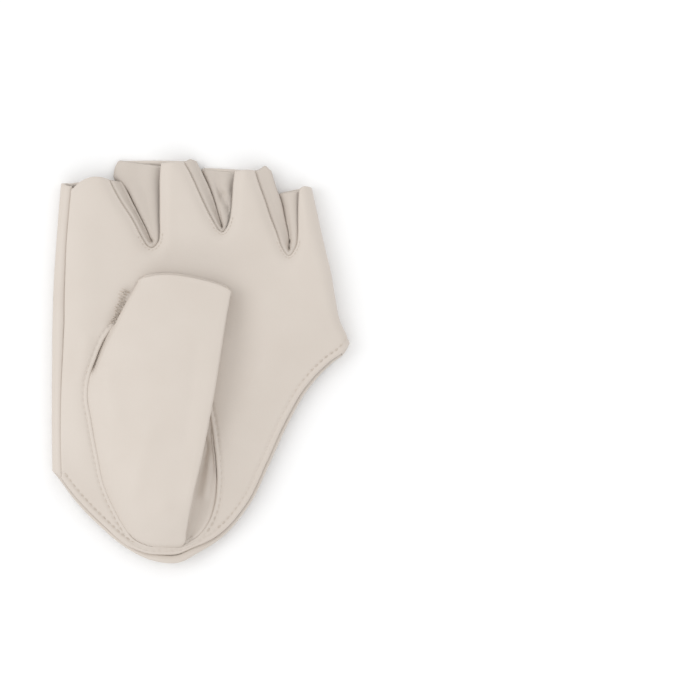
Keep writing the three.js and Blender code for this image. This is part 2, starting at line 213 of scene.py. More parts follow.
# The palm's edge round each gap between two fingers, from the right finger's corner to the left finger's.
GAPS = [
    [(-15.2, 74.4), (-15.6, 70), (-15.7, 62), (-15.7, 53), (-15.7, 47.4), (-15.9, 45.4), (-16.7, 43.9),
     (-18.6, 42.5), (-20.4, 43.3), (-21.9, 45.6), (-25.8, 53), (-30.8, 60.8), (-33.2, 65.2), (-34.6, 68.2)],
    [(12.8, 71.4), (12.2, 67), (11.8, 61), (11.4, 56.2), (10.6, 52.2), (9.6, 49.9), (8.1, 48.4),
     (6.8, 49.3), (5.5, 51.2), (3.3, 55.1), (0.6, 60.6), (-2.2, 66.8), (-4.4, 71.4), (-6.5, 74.9)],
    [(37.2, 64.6), (36.9, 60), (36.8, 54), (36.7, 47), (36.2, 43.4), (35, 41), (33.4, 39.5),
     (32, 40.8), (30.7, 43), (28.9, 47.9), (26.4, 54.4), (24.2, 61), (22, 67), (20.5, 71.8)],
]

# The seams deep in each gap, from the left and the right finger's end down to where they meet.
LEFT_SEAMS = [
    [(-30.4, 67.9), (-28.8, 65.3), (-26, 59.8), (-23.2, 54.3), (-20.8, 49.6), (-19.1, 45.6)],
    [(-2, 75.8), (0.2, 71.4), (2.8, 66), (5, 60.2), (7, 53.6), (8, 50.8)],
    [(26.6, 71.4), (28.4, 66), (30.5, 60), (32, 53), (33.3, 46.6), (33.4, 42.4)],
]
RIGHT_SEAMS = [
    [(-31.5, 75.9), (-32.9, 73), (-33.2, 71), (-33.3, 69.4), (-32.8, 68.2), (-31, 66.6), (-28.6, 64.4),
     (-26, 59.8), (-23.2, 54.3), (-20.8, 49.6), (-19.1, 45.6)],
    [(-0.1, 72.2), (2.8, 66), (5, 60.2), (7, 53.6), (8, 50.8)],
    [(29.4, 62.9), (30.5, 60), (32, 53), (33.3, 46.6), (33.4, 42.4)],
]

# The wall in each gap, on either side of its seam: how far below the palm it lies at the palm's edge and
# beside the seam, both at the fingers' ends, how fast that changes down the gap, how far its end is set in,
# how much it swells and how round it turns down into the seam.
WALL_SIDES = {
    "right": columns("edge low fade inset swell roll", [
        (5, 5.4, 0.7, 0.9, 0, 1.3),
        (5.8, 5.8, 0.7, 0.3, 0, 0.4),
        (2.6, 4, 1.2, 0.3, 0.5, 0.35),
    ]),
    "left": columns("edge low fade inset swell roll", [
        (0.6, 3.4, 1.2, 0, 0, 0.35),
        (1.1, 3.4, 1.2, 0, 0, 0.35),
        (1.1, 2, 1.2, 0, 0, 0.35),
    ]),
}

# How far below the palm the wall lies at the gap's bottom, and how far and where along its end the left
# finger's side stands out.
WALL_ENDS = columns("edge low peak peak_at", [
    (0.9, 2.6, 0, 0.5),
    (1, 2.8, 0.8, 0.6),
    (0.9, 2.2, 2.1, 0.72),
])
WALL_FOLDS = [
    # x, y, to x, to y, width, height
    (3.6, 66.6, 8, 62.5, 1.6, -0.5),
    (8, 62.5, 10.8, 57, 1.5, -0.5),
    (9.4, 67, 10, 65, 2, 0.4),
    (8.4, 57.6, 8.8, 54, 1.3, 0.4),
]
SEAM_HOLES = [
    # the small openings left where the seams meet: x, y, to x, to y, width, height
    (-18.7, 45.2, -18.5, 44.8, 0.6, -2.8),
    (7.9, 50.7, 8, 50, 0.5, -2.6),
    (33.7, 45.2, 33.9, 44.6, 0.5, -2.4),
    (33.5, 42.6, 33.6, 41.8, 0.5, -2.4),
]

# How far the fingers' open ends bow out on the palm side and on the back, from the index finger on.
PALM_BOWS = (2.5, 0.3, 0.4, 0.7)
BACK_BOWS = (0.8, 0.2, 0.3, 0.1)

# The wrist edge of the back, from the index side round to the little finger's side, how far the palm's edge
# lies inside it, and how high the back's hem curls up from the floor to meet the palm's.
WRIST = [
    (-62, -36), (-56.2, -42.4), (-49, -52), (-38.4, -63.3), (-27, -72.4), (-19.4, -76),
    (-8, -77), (-1, -73.4), (7.2, -68.2), (18.6, -54.9), (26.2, -39.3), (33.8, -23),
    (41, -10.8), (50, -1.2), (54.4, 2.1), (56.8, 5.4), (58.4, 9.4), (63, 14),
]
WRIST_STEP = columns("x step curl", [
    (-62, 0.6, 1.6), (-50, 1.1, 2.4), (-38, 1.3, 3), (-28, 1.1, 3.2), (-21, 2, 3.8), (-14, 3, 5.7),
    (-5, 3, 5.7), (3, 2, 3.8), (12, 1.4, 3.3), (40, 1.3, 2.9), (50, 1, 2.2), (60, 0.6, 1.6),
])

# The seam round the thumb's opening in the palm, from its upper end down the index side.
THUMB_SEAM = [
    (-24.4, 20.5), (-29.6, 15.8), (-33.6, 11.6), (-36.3, 8), (-38.3, 3.8), (-40, -0.6), (-41.3, -4),
    (-42.4, -8.5), (-42.8, -13.5), (-41.4, -23), (-38.9, -36.5), (-36.3, -48), (-32.7, -56.3), (-28.9, -63.2),
    (-25, -68.2), (-20.3, -70.4), (-13, -70.8), (-6.4, -69.9), (-1.4, -67), (2.7, -61.8), (5.2, -55),
    (6.1, -46), (5.2, -33), (3, -19), (-1, -4), (-8, 9), (-17, 17.5),
]

# The thumb at places along its length: x of its left side and of the crease on its right, and the heights
# above the palm of the left side, of the crown and of the crease.
THUMB = columns("y left crease side crown fold", [
    (-71.5, -19, -7.2, 0.2, 0.8, 0.8),
    (-68.8, -22.8, -5.7, 0.3, 2, 2),
    (-66, -26, -5.5, 0.4, 3.6, 3.6),
    (-62, -29.4, -4.8, 0.5, 5.2, 5.6),
    (-53, -34.1, -3.1, 0.6, 7.2, 7.8),
    (-38, -38.4, 0.4, 0.7, 8.4, 9.2),
    (-23, -41.2, 3.4, 0.8, 8.7, 9.4),
    (-8, -42.3, 6.1, -0.3, 8.7, 9.1),
    (-3, -40.3, 6.9, 0.1, 8.6, 8.8),
    (4, -37.3, 8, 1, 8.2, 8.4),
    (13, -32.7, 9.4, 1.6, 7.2, 7.4),
    (24, -26.9, 11.4, 1.8, 5.8, 6),
    (30, -23.4, 12.3, 1.8, 5, 5.2),
    (36, -19.5, 13.1, 1.8, 4.4, 4.6),
])

# The thumb's open end and, at its other end, where it goes under the wrist's hem: y for each x.
THUMB_MOUTH = columns("x y", [
    (-24.2, 29.7), (-22.8, 30.5), (-21.3, 31.1), (-19.2, 31.6), (-13.7, 32.3),
    (-6, 31.6), (-0.4, 30.4), (3.4, 29.6), (7.2, 28.2), (9.1, 27.6), (10.3, 26.9), (11.4, 26),
])
THUMB_END = columns("x y", [
    (-26.5, -67.3), (-24.5, -69), (-20.3, -70.6), (-13, -71.2), (-6.4, -70.6), (-3, -69.1), (-1, -67.7),
])

# Soft folds, each a ridge, or a hollow where its height is negative, along a line.
PALM_FOLDS = [
    # x, y, to x, to y, width, height
    (16, -8, 9, -52, 9, 0.9),
    (11, 24, 14, -14, 8, -1.2),
    (-10, 36, 30, 34, 8, -1.4),
    (-42.8, 7, -45.2, -6, 2.4, 0.5),
    (-47, -10, -44, -36, 4, 0.3),
    (-32.5, 14, -27.3, 25, 2.6, -1.2),
    (-9, 66, -2, 48, 4.5, 0.3),
    (17, 66, 22, 50, 4, 0.3),
    (-38, 62, -31, 46, 5, 0.3),
    (-26, 38, -15, 36, 3.5, 0.25),
    (28, 20, 44, 12, 5, 0.3),
    (-46, 50, -45, 24, 5, 0.25),
]
THUMB_FOLDS = [
    (-18.6, -27, -25.4, -50, 4.2, 0.45),
    (-13.5, -57.5, -10, -60.5, 4.5, 0.6),
    (-19, -65, -10, -66, 2.6, -0.4),
    (-1.2, 4, -5.6, -30, 2.4, -0.18),
    (-36, -6, -33, -22, 4, 0.4),
    (-8, 16, -10, 2, 7, -0.25),
    (-31, -40, -29, -52, 3, -0.25),
]
POCKET_FOLDS = [
    # in the thumb's leather to the right of its crease
    (4, -38, 1.5, -51, 2, 1),
    (6.4, -20, 5.2, -30, 1.6, -1.2),
]
BACK_FOLDS = [
    (-40, -50, -28, -62, 6, 0.5),
    (20, -44, 28, -32, 6, 0.5),
    (40, -8, 46, 0, 5, 0.4),
]


def finishes(rows):
    """Named values for each kind of edge: how deep it turns down and over what width, how round its rim is,
    how much it swells above and below over the width of its hem or seam allowance, and how deep the stitches
    behind that sink."""
    names = "turn over rim above below width groove".split()
    return {kind: dict(zip(names, row)) for kind, row in rows.items()}


PALM_EDGES = finishes({
    "wrist": (0.3, 1.4, 0.8, 0.15, 1.2, 2.2, 0.32),
    "mouth": (0.5, 2.2, 0.7, 0.1, 0.5, 1.8, 0.06),
    "closing": (0.3, 1.2, 0.4, 0, 0, 2, 0),
    "notch": (0.9, 1.1, 0.5, 0.1, 0, 1.2, 0.06),
    "thumb": (0.3, 0.8, 0.3, 0.12, 0, 1.6, 0.34),
    "under": (0, 1, 0.3, 0, 0, 1, 0),
})
BACK_EDGES = finishes({
    "wrist": (0, 1, 0.8, 0.9, 0, 2.6, 0.3),
    "mouth": (0, 1, 0.7, 0.4, 0, 1.8, 0.06),
    "closing": (-1.5, 3.4, 0.3, 0, 0, 2, 0),
    "notch": (0, 1, 0.3, 0, 0, 1, 0),
    "under": (0, 1, 0.3, 0, 0, 1, 0),
})

# The hand's form: the palm's height above the floor in places, and the width over which it changes there
BODY_HEIGHT = 10
TIP_HEIGHT = 9.4
TIP_SLOPE = (10, 60)  # y between which the body's height goes over into that of the fingers' ends
WRIST_HEIGHT = 7.6
WRIST_SLOPE = 20
SEAM_HEIGHT = 7.4  # along the closing seam
SEAM_ROLL = 12
GAP_DROP = 1.5  # how much lower the palm's edge lies round the gaps between the fingers
GAP_ROLL = 6
CURL_WIDTH = 9  # from the wrist's edge to where the back's hem lies on the floor again
CURL_ENDS = (12, 14)  # over which the curl fades out towards the index and the little finger's side

gap_lines = [even(curve(points), 1.5) for points in GAPS]
wrist_line = curve(WRIST)
wrist_inwards = left_of(wrist_line)
wrist_steps = smooth(WRIST_STEP["x"], WRIST_STEP["step"], wrist_line[:, 0])


def wrist_moved(share, more=0):
    """The back's wrist line moved in by a share of the step to the palm's, and by more millimetres."""
    return wrist_line + (wrist_steps * share + more)[:, None] * wrist_inwards


palm_wrist_line = wrist_moved(1)
thumb_seam_line = curve(THUMB_SEAM, closed=True)

# The drawing's place in the model: its index side and wrist end lie where those of the model's back do.
low_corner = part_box("back_panel")[0]
SHIFT = np.array([
    low_corner.x / MM - SIDES["index"].min(),
    low_corner.y / MM - wrist_line[:, 1].min(),
    0,
])


def palm_top(x, y):
    """Height of the palm, before its folds and its roll round the little finger's side."""
    seam = smooth(SIDES["y"], SIDES["seam"], y)
    tips = mix(BODY_HEIGHT, TIP_HEIGHT, ease(*TIP_SLOPE, y))
    from_wrist = distance(x, y, palm_wrist_line[::24])
    plateau = mix(WRIST_HEIGHT, tips, ease(0, WRIST_SLOPE, from_wrist))
    from_seam = np.clip((x - seam) / SEAM_ROLL, 0, 1)
    risen = mix(SEAM_HEIGHT, plateau, 1 - (1 - from_seam) ** 2)
    from_gap = np.min([distance(x, y, line) for line in gap_lines], axis=0)
    return risen - GAP_DROP * (1 - ease(0, GAP_ROLL, from_gap)) ** 2


class Hand:
    """The glove's form in leather of one thickness: where the middle of its leather lies."""

    def __init__(self, thickness):
        self.half = thickness / 2
        self.y = np.linspace(-90, 90, 361)  # places along the hand at which its sides are worked out
        side = smooth(SIDES["y"], SIDES["little"], self.y)
        self.little_start = side - BODY_HEIGHT / 2
        for _ in range(4):
            self.little_radius = (palm_top(self.little_start, self.y) - thickness) / 2
            self.little_start = side - self.little_radius - self.half
        self.index_radius = (SEAM_HEIGHT - thickness) / 2
        self.index_start = smooth(SIDES["y"], SIDES["index"], self.y) + self.index_radius + self.half
        seam = smooth(SIDES["y"], SIDES["seam"], self.y)
        self.index_turn = math.pi + np.arcsin(np.clip((seam - self.index_start) / self.index_radius, -1, 1))

    def little_roll(self, y):
        """Where the palm's roll under the hand starts, and its radius."""
        return np.interp(y, self.y, self.little_start), np.interp(y, self.y, self.little_radius)

    def palm(self, flat):
        """From the palm's flat pattern to its place on the hand."""
        s, y = flat.T
        start, radius = self.little_roll(y)
        angle = np.clip((s - start) / radius, 0, math.pi)
        x = np.minimum(s, start)
        soft = folds(PALM_FOLDS, x, y) * (1 + np.cos(angle)) / 2
        z = palm_top(x, y) - self.half + soft - radius * (1 - np.cos(angle))
        return np.stack([x + radius * np.sin(angle), y, z], axis=1)

    def palm_pattern(self, points):
        """From places seen from above to the palm's flat pattern."""
        start, radius = self.little_roll(points[:, 1])
        over = np.arcsin(np.clip((points[:, 0] - start) / radius, 0, 1))
        return np.stack([np.minimum(points[:, 0], start) + radius * over, points[:, 1]], axis=1)

    def back(self, flat):
        """From the back's flat pattern to its place under the hand and round the index side."""
        s, y = flat.T
        start = np.interp(y, self.y, self.index_start)
        angle = np.maximum(-s / self.index_radius, 0)
        from_wrist = distance(start + s, y, wrist_line[::24])
        curl = smooth(WRIST_STEP["x"], WRIST_STEP["curl"], start + s) * (1 - ease(0, CURL_WIDTH, from_wrist))
        to_little = self.little_roll(y)[0] - start - s
        curl = curl * ease(0, CURL_ENDS[0], s) * ease(0, CURL_ENDS[1], to_little)
        lifted = folds(BACK_FOLDS, start + s, y) + curl
        z = self.half + lifted + self.index_radius * (1 - np.cos(angle))
        return np.stack([start + np.maximum(s, 0) - self.index_radius * np.sin(angle), y, z], axis=1)

    def back_pattern(self, points):
        """From places on the floor to the back's flat pattern."""
        x, y = points.T
        return np.stack([x - np.interp(y, self.y, self.index_start), y], axis=1)


# Cut pieces of leather
EDGE_SPACING = 0.6  # between points along a cut edge
GRID_SPACING = 0.9  # between points inside a piece
EDGE_ROWS = (0.06, 0.2, 0.42, 0.7, 1, 1.35, 1.75, 2.2, 2.7, 3.2, 3.8)  # rows of points that follow an edge
STITCH_AWAY = 0.1  # from the end of a hem or seam allowance to the middle of its stitches
GROOVE_WIDTH = 0.45  # of the groove that they lie in
PUCKER = 0.35  # how unevenly they draw the leather in, as a share of the groove's depth


class Panel:
    """A flat-cut piece of leather, bent to the hand and finished along its edges."""

    def __init__(self, place, half, pitch, edges, finish, hole=None):
        """The edges go once round the pattern, each with its kind. The place function bends the pattern to
        the hand, half is half the leather's thickness, and pitch is the way from stitch to stitch."""
        self.place = place
        self.half = half
        self.pitch = pitch
        self.finish = finish
        self.edges = [(kind, even(line, EDGE_SPACING)) for kind, line in edges]
        self.loops = [np.concatenate([line[:-1] for _, line in self.edges])]
        if hole is not None:
            kind, line = hole
            ring = even(line, EDGE_SPACING)
            self.edges.append((kind, ring))
            self.loops.append(ring[:-1])

    def layers(self, flat):
        """The lower and the upper face of the leather over points of its pattern, and its normals."""
        nudge = 0.04
        middle = self.place(flat)
        across = self.place(flat + (nudge, 0)) - self.place(flat - (nudge, 0))
        along = self.place(flat + (0, nudge)) - self.place(flat - (0, nudge))
        normal = unit(np.cross(across, along))

        # Each edge turns the leather down, swells its hem, draws it in at its stitches and rounds its rim.
        sink = np.zeros(len(flat))
        above = np.full(len(flat), self.half)
        below = np.full(len(flat), self.half)
        groove = np.zeros(len(flat))
        rim = np.full(len(flat), 1.0)
        for kind, line in self.edges:
            edge = self.finish[kind]
            away, run = nearest(flat, line)
            turn = edge["turn"] * (1 - np.sqrt(1 - (1 - np.clip(away / edge["over"], 0, 1)) ** 2))
            sink = np.where(np.abs(turn) > np.abs(sink), turn, sink)
            swell = 1 - ease(edge["width"] - 0.5, edge["width"] + 0.4, away)
            above = np.maximum(above, self.half + edge["above"] * swell)
            below = np.maximum(below, self.half + edge["below"] * swell)
            pucker = 1 + PUCKER * np.sin(run * 2 * math.pi / self.pitch)
            from_stitches = away - edge["width"] - STITCH_AWAY
            stitched = edge["groove"] * pucker * np.exp(-(from_stitches / GROOVE_WIDTH) ** 2)
            groove = np.maximum(groove, stitched)
            rim = np.minimum(rim, away / edge["rim"])
        rounded = np.sqrt(1 - (1 - rim) ** 2)
        upper = middle + normal * (above * rounded - groove * ease(0.3, 1, rim) - sink)[:, None]
        lower = middle - normal * (below * rounded + sink)[:, None]
        upper[:, 2] = np.maximum(upper[:, 2], 0)
        lower[:, 2] = np.maximum(lower[:, 2], 0)
        return lower, upper, normal

    def rim_distance(self, points):
        """How far points of the pattern lie from its nearest edge."""
        rings = [np.concatenate([loop, loop[:1]]) for loop in self.loops]
        return np.min([nearest(points, ring)[0] for ring in rings], axis=0)

    def flat_points(self):
        """Points that fill the pattern: rows that follow its edges, and a grid between them."""
        rows = []
        for loop in self.loops:
            inwards = left_of(np.concatenate([loop[-1:], loop, loop[:1]]))[1:-1]
            for depth in EDGE_ROWS:
                row = loop + inwards * depth
                rows.append(row[self.rim_distance(row) > 0.92 * depth])
        rows = np.concatenate(rows)
        low, high = self.loops[0].min(axis=0), self.loops[0].max(axis=0)
        grid = []
        for k, y in enumerate(np.arange(low[1], high[1], GRID_SPACING * math.sqrt(0.75))):
            x = np.arange(low[0] + (k % 2) * GRID_SPACING / 2, high[0], GRID_SPACING)
            grid.append(np.stack([x, np.full(len(x), y)], axis=1))
        grid = np.concatenate(grid)
        grid = grid[inside(grid, self.loops)]
        grid = grid[self.rim_distance(grid) > EDGE_ROWS[-1] + GRID_SPACING / 2]
        return np.concatenate([rows[inside(rows, self.loops)], grid])

    def flat_size(self):
        """Width, length and area of the pattern, in metres."""
        width, length = (self.loops[0].max(axis=0) - self.loops[0].min(axis=0)) * MM
        areas = [abs(np.sum(np.cross(loop, np.roll(loop, -1, axis=0)))) / 2 * MM ** 2 for loop in self.loops]
        return width, length, areas[0] - sum(areas[1:])

    def build(self, name):
        """The piece as a closed mesh object, and its flat size."""
        points = np.concatenate([*self.loops, self.flat_points()])
        edges = []
        first = 0
        for loop in self.loops:
            count = len(loop)
            edges += [(first + i, first + (i + 1) % count) for i in range(count)]
            first += count
        found = delaunay_2d_cdt([Vector(p) for p in points], edges, [], 0, 1e-5)
        flat = np.array([tuple(v) for v in found[0]])
        faces = np.array(found[2])

        # A face between points of the edge alone may lie outside the pattern, and then it goes.
        rim = self.rim_distance(flat) < 1e-4
        doubtful = rim[faces].all(axis=1)
        kept = np.ones(len(faces), bool)
        kept[doubtful] = inside(flat[faces[doubtful]].mean(axis=1), self.loops)
        faces = faces[kept]
        a, b, c = flat[faces].transpose(1, 0, 2)
        clockwise = (b - a)[:, 0] * (c - a)[:, 1] < (b - a)[:, 1] * (c - a)[:, 0]
        faces[clockwise] = faces[clockwise][:, ::-1]

        # The upper and the lower face of the leather share the points of its edge.
        lower, upper, _ = self.layers(flat)
        upper[rim] = (upper[rim] + lower[rim]) / 2
        low_index = np.where(rim, np.arange(len(flat)), len(flat) + np.cumsum(~rim) - 1)
        all_faces = np.concatenate([faces, low_index[faces][:, ::-1]])
        return new_mesh(name, np.concatenate([upper, lower[~rim]]), all_faces), self.flat_size()


def new_mesh(name, points, faces):
    """A smooth-shaded mesh object from points on the drawing."""
    mesh = bpy.data.meshes.new(name)
    mesh.from_pydata(((points + SHIFT) * MM).tolist(), [], [[int(i) for i in face] for face in faces])
    mesh.validate()
    mesh.shade_smooth()
    obj = bpy.data.objects.new(name, mesh)
    bpy.context.scene.collection.objects.link(obj)
    return obj


def crossing(line, value):
    """Where along a line its points' values turn positive."""
    k = int(np.argmax(value > 0))
    return mix(line[k - 1], line[k], value[k - 1] / (value[k - 1] - value[k]))


def slit_line(i, half):
    """A line round the seams under a gap, at a distance of half: down on their right and up on their left.
    Its points, and the number of the one where it turns."""
    right = curve(RIGHT_SEAMS[i])[::12]
    left = curve(LEFT_SEAMS[i])[::12]
    down, up = right + half * left_of(right), left - half * left_of(left)
    down = down[distance(*down.T, right) > 0.98 * half]
    up = up[distance(*up.T, left) > 0.98 * half]
    end, aside = left[-1], left_of(left)[-1]
    ahead = np.array([aside[1], -aside[0]])
    angle = np.linspace(0, math.pi, 17)[1:-1, None]
    cap = end + half * (np.cos(angle) * aside + np.sin(angle) * ahead)
    return np.concatenate([down, cap, up[::-1]]), len(down) + len(cap) // 2


SEAM_MEET = 0.02  # what is left open between the palm and the back along the little finger's side
SEAM_LAP = 0.8  # how far the back reaches under the palm's edge along the closing seam
BACK_SLIT = 1.2  # from the seams between the fingers to the back's edges, which the walls fill

# The outer corners of the fingers' ends: the little finger's and the index finger's
PALM_CORNERS = (41.9, 65.4), (-48.3, 65.3)
BACK_CORNERS = (41.8, 65.6), (-52.4, 66.4)
CLOSING_TOP = 65  # y at which the back's end has come round the index side to the closing seam
CLOSING_DIP = 1.1  # how much further from the finger's end that is than where it leaves the floor


def palm_panel(hand, sizes):
    """The palm: round the wrist, up the little finger's side, along the fingers and down the closing seam."""
    seam = smooth(SIDES["y"], SIDES["seam"], palm_wrist_line[:, 1]) + SEAM_MEET
    start, radius = hand.little_roll(palm_wrist_line[:, 1])
    upper = palm_wrist_line[(palm_wrist_line[:, 0] > seam) & (palm_wrist_line[:, 0] < start + radius)]

    # On its way under the hand, the edge goes over from the palm's wrist line into the back's.
    under = []
    for angle in np.linspace(math.pi / 2, math.pi, 14):
        line = wrist_moved(1 - float(ease(math.pi / 2, math.pi, angle)))
        start, radius = hand.little_roll(line[:, 1])
        y = crossing(line, line[:, 0] - start - radius * math.sin(angle))[1]
        start, radius = hand.little_roll(y)
        under.append((start + radius * angle, y))
    wrist = np.concatenate([hand.palm_pattern(upper), np.array(under)])

    # Along the fingers, from the little finger's end round each gap to the index finger's
    corners = [gap[0] for gap in GAPS] + [gap[-1] for gap in GAPS]
    little_corner, index_corner = PALM_CORNERS
    lefts = [index_corner, *corners[:3]]
    rights = [*corners[3:], little_corner]
    rise = np.linspace(wrist[-1][1], little_corner[1], 80)
    start, radius = hand.little_roll(rise)
    side = np.stack([start + radius * math.pi, rise], axis=1)
    side[0] = wrist[-1]
    shoulder = hand.palm_pattern(np.array([little_corner]))[0]
    lines = [("wrist", wrist), ("under", side), ("mouth", bowed(side[-1], shoulder, 0))]
    for i in range(3, -1, -1):
        mouth = hand.palm_pattern(bowed(rights[i], lefts[i], -PALM_BOWS[i]))
        mouth[0] = lines[-1][1][-1]
        lines.append(("mouth", mouth))
        if i > 0:
            lines.append(("notch", curve(GAPS[i - 1])))
    down = np.linspace(index_corner[1], wrist[0][1], 200)
    closing = np.stack([smooth(SIDES["y"], SIDES["seam"], down) + SEAM_MEET, down], axis=1)
    closing[0] = lines[-1][1][-1]
    closing[-1] = wrist[0]
    lines.append(("closing", closing))
    hole = np.concatenate([thumb_seam_line, thumb_seam_line[:1]])[::-1]
    finish = {**PALM_EDGES, "wrist": {**PALM_EDGES["wrist"], "width": sizes.hem_width / MM}}
    return Panel(hand.palm, hand.half, sizes.stitch_spacing / MM, lines, finish, ("thumb", hole))


def back_panel(hand, sizes):
    """The back: round the wrist, up the little finger's side, along the fingers and down the closing seam."""
    # From the closing seam down to the floor, the edge goes over from the palm's wrist line into the back's.
    rolled = []
    for angle in np.linspace(math.pi, 0, 26):
        line = wrist_moved(float(ease(math.pi / 2, math.pi, angle)))
        start = np.interp(line[:, 1], hand.y, hand.index_start)
        y = crossing(line, line[:, 0] - start + hand.index_radius * math.sin(angle))[1]
        rolled.append((-hand.index_radius * angle, y))
    edge = hand.little_roll(wrist_line[:, 1])[0] - SEAM_MEET
    start = np.interp(wrist_line[:, 1], hand.y, hand.index_start)
    floor = wrist_line[(wrist_line[:, 0] > start) & (wrist_line[:, 0] < edge)]
    wrist = np.concatenate([np.array(rolled), hand.back_pattern(floor)])

    # Along the fingers, with a slit for the wall of each gap
    little_corner, index_corner = BACK_CORNERS
    slits = [slit_line(i, BACK_SLIT)[0] for i in range(3)]
    little_mouth = bowed(little_corner, slits[2][0], -BACK_BOWS[3])
    little_mouth = little_mouth[little_mouth[:, 0] < hand.little_roll(little_mouth[:, 1])[0] - SEAM_MEET]
    mouth = hand.back_pattern(little_mouth)
    rise = np.linspace(wrist[-1][1], mouth[0][1], 80)
    edge = hand.little_roll(rise)[0] - SEAM_MEET
    side = hand.back_pattern(np.stack([edge, rise], axis=1))
    side[0], side[-1] = wrist[-1], mouth[0]
    lines = [("wrist", wrist), ("under", side), ("mouth", mouth)]
    for i in (2, 1, 0):
        lines.append(("notch", hand.back_pattern(slits[i])))
        left = slits[i - 1][0] if i > 0 else index_corner
        lines.append(("mouth", hand.back_pattern(bowed(slits[i][-1], left, -BACK_BOWS[i]))))

    # Round the index side, up to the closing seam
    mouth = lines[-1][1]
    lines[-1] = ("mouth", mouth[mouth[:, 0] > 0])
    top = lines[-1][1][-1]
    last = np.interp(CLOSING_TOP, hand.y, hand.index_turn) + SEAM_LAP / hand.index_radius
    angle = np.linspace(0, 1, 30) * last
    dip = CLOSING_DIP * ease(math.pi * 0.5, math.pi, angle)
    over = np.stack([-hand.index_radius * angle, top[1] - dip], axis=1)
    lines.append(("mouth", np.concatenate([[top], over[1:]])))
    down = np.linspace(over[-1][1], wrist[0][1], 200)
    turn = np.interp(down, hand.y, hand.index_turn)
    closing = np.stack([-hand.index_radius * turn - SEAM_LAP, down], axis=1)
    closing[0] = over[-1]
    closing[-1] = wrist[0]
    lines.append(("closing", closing))
    return Panel(hand.back, hand.half, sizes.stitch_spacing / MM, lines, BACK_EDGES)


# Pieces laid out as grids of points: the thumb and the walls between the fingers
def grid_normals(grid):
    """The leather's normals at a grid's points, towards its inner face."""
    return unit(np.cross(np.gradient(grid, axis=1), np.gradient(grid, axis=0)))


def grid_run(grid, axis):
    """How far each of a grid's points lies down its column, for axis 0, or along its row, for axis 1."""
    steps = np.linalg.norm(np.diff(grid, axis=axis), axis=2)
    return np.insert(np.cumsum(steps, axis=axis), 0, 0, axis=axis)


def grid_shell(name, outer, inner):
    """A closed mesh from an outer and an inner grid. A row whose two ends meet is sewn together there."""
    rows, across = outer.shape[:2]
    points = np.concatenate([outer.reshape(-1, 3), inner.reshape(-1, 3)])
    high = np.arange(rows * across).reshape(rows, across)
    low = high + rows * across
    sewn = np.linalg.norm(outer[:, 0] - outer[:, -1], axis=1) < 1e-4
    faces = []
    for r in range(rows - 1):
        for c in range(across - 1):
            faces.append((high[r, c], high[r, c + 1], high[r + 1, c + 1], high[r + 1, c]))
            faces.append((low[r, c], low[r + 1, c], low[r + 1, c + 1], low[r, c + 1]))
        if not (sewn[r] and sewn[r + 1]):
            faces.append((high[r, 0], high[r + 1, 0], low[r + 1, 0], low[r, 0]))
            faces.append((high[r + 1, -1], high[r, -1], low[r, -1], low[r + 1, -1]))
    for c in range(across - 1):
        faces.append((high[0, c + 1], high[0, c], low[0, c], low[0, c + 1]))
        faces.append((high[-1, c], high[-1, c + 1], low[-1, c + 1], low[-1, c]))
    obj = new_mesh(name, points, faces)
    sewing = bmesh.new()
    sewing.from_mesh(obj.data)
    bmesh.ops.remove_doubles(sewing, verts=sewing.verts, dist=1e-7)
    bmesh.ops.recalc_face_normals(sewing, faces=sewing.faces)
    sewing.to_mesh(obj.data)
    sewing.free()
    obj.data.shade_smooth()
    return obj


def grid_size(grid):
    """Width, length and area of a grid's leather laid flat, in metres."""
    area = np.linalg.norm(np.cross(np.diff(grid, axis=0)[:, :-1], np.diff(grid, axis=1)[:-1]), axis=2).sum()
    return grid_run(grid, 1).max() * MM, grid_run(grid, 0).max() * MM, area * MM ** 2


def laid_curve(points, stops, counts):
    """Points on a smooth curve through a few, with a set number from each stop to the next."""
    run = run_of(points)
    marks = [run[stop] for stop in stops]
    steps = [np.linspace(a, b, count, endpoint=False) for a, b, count in zip(marks, marks[1:], counts)]
    steps = np.concatenate([*steps, marks[-1:]])
    return np.stack([smooth(run, column, steps) for column in points.T], axis=1)


WALL_SEAM = 0.62  # from the seams between the fingers to the middle of the wall's leather
WALL_ROWS = 90
WALL_ROLL = 0.35  # how round the wall turns down into the seam at the gap's bottom
WALL_TURN = 0.72  # where it does so, as a share of the wall's width from the palm's edge to the floor
WALL_FOOT = 0.7  # height of the wall's lower edge
WALL_STOPS = (0, 2, 6, 9)  # places across the wall: its edge under the palm, its lip, its turn and its foot
WALL_COLUMNS = (6, 26, 12)  # of points, from stop to stop
WALL_SHOWN = (0.12, 0.2), (0.5, 0.62)  # shares of the wall's width between which its folds show
WALL_PEAK = 7  # from the finger's end to where its side no longer stands out


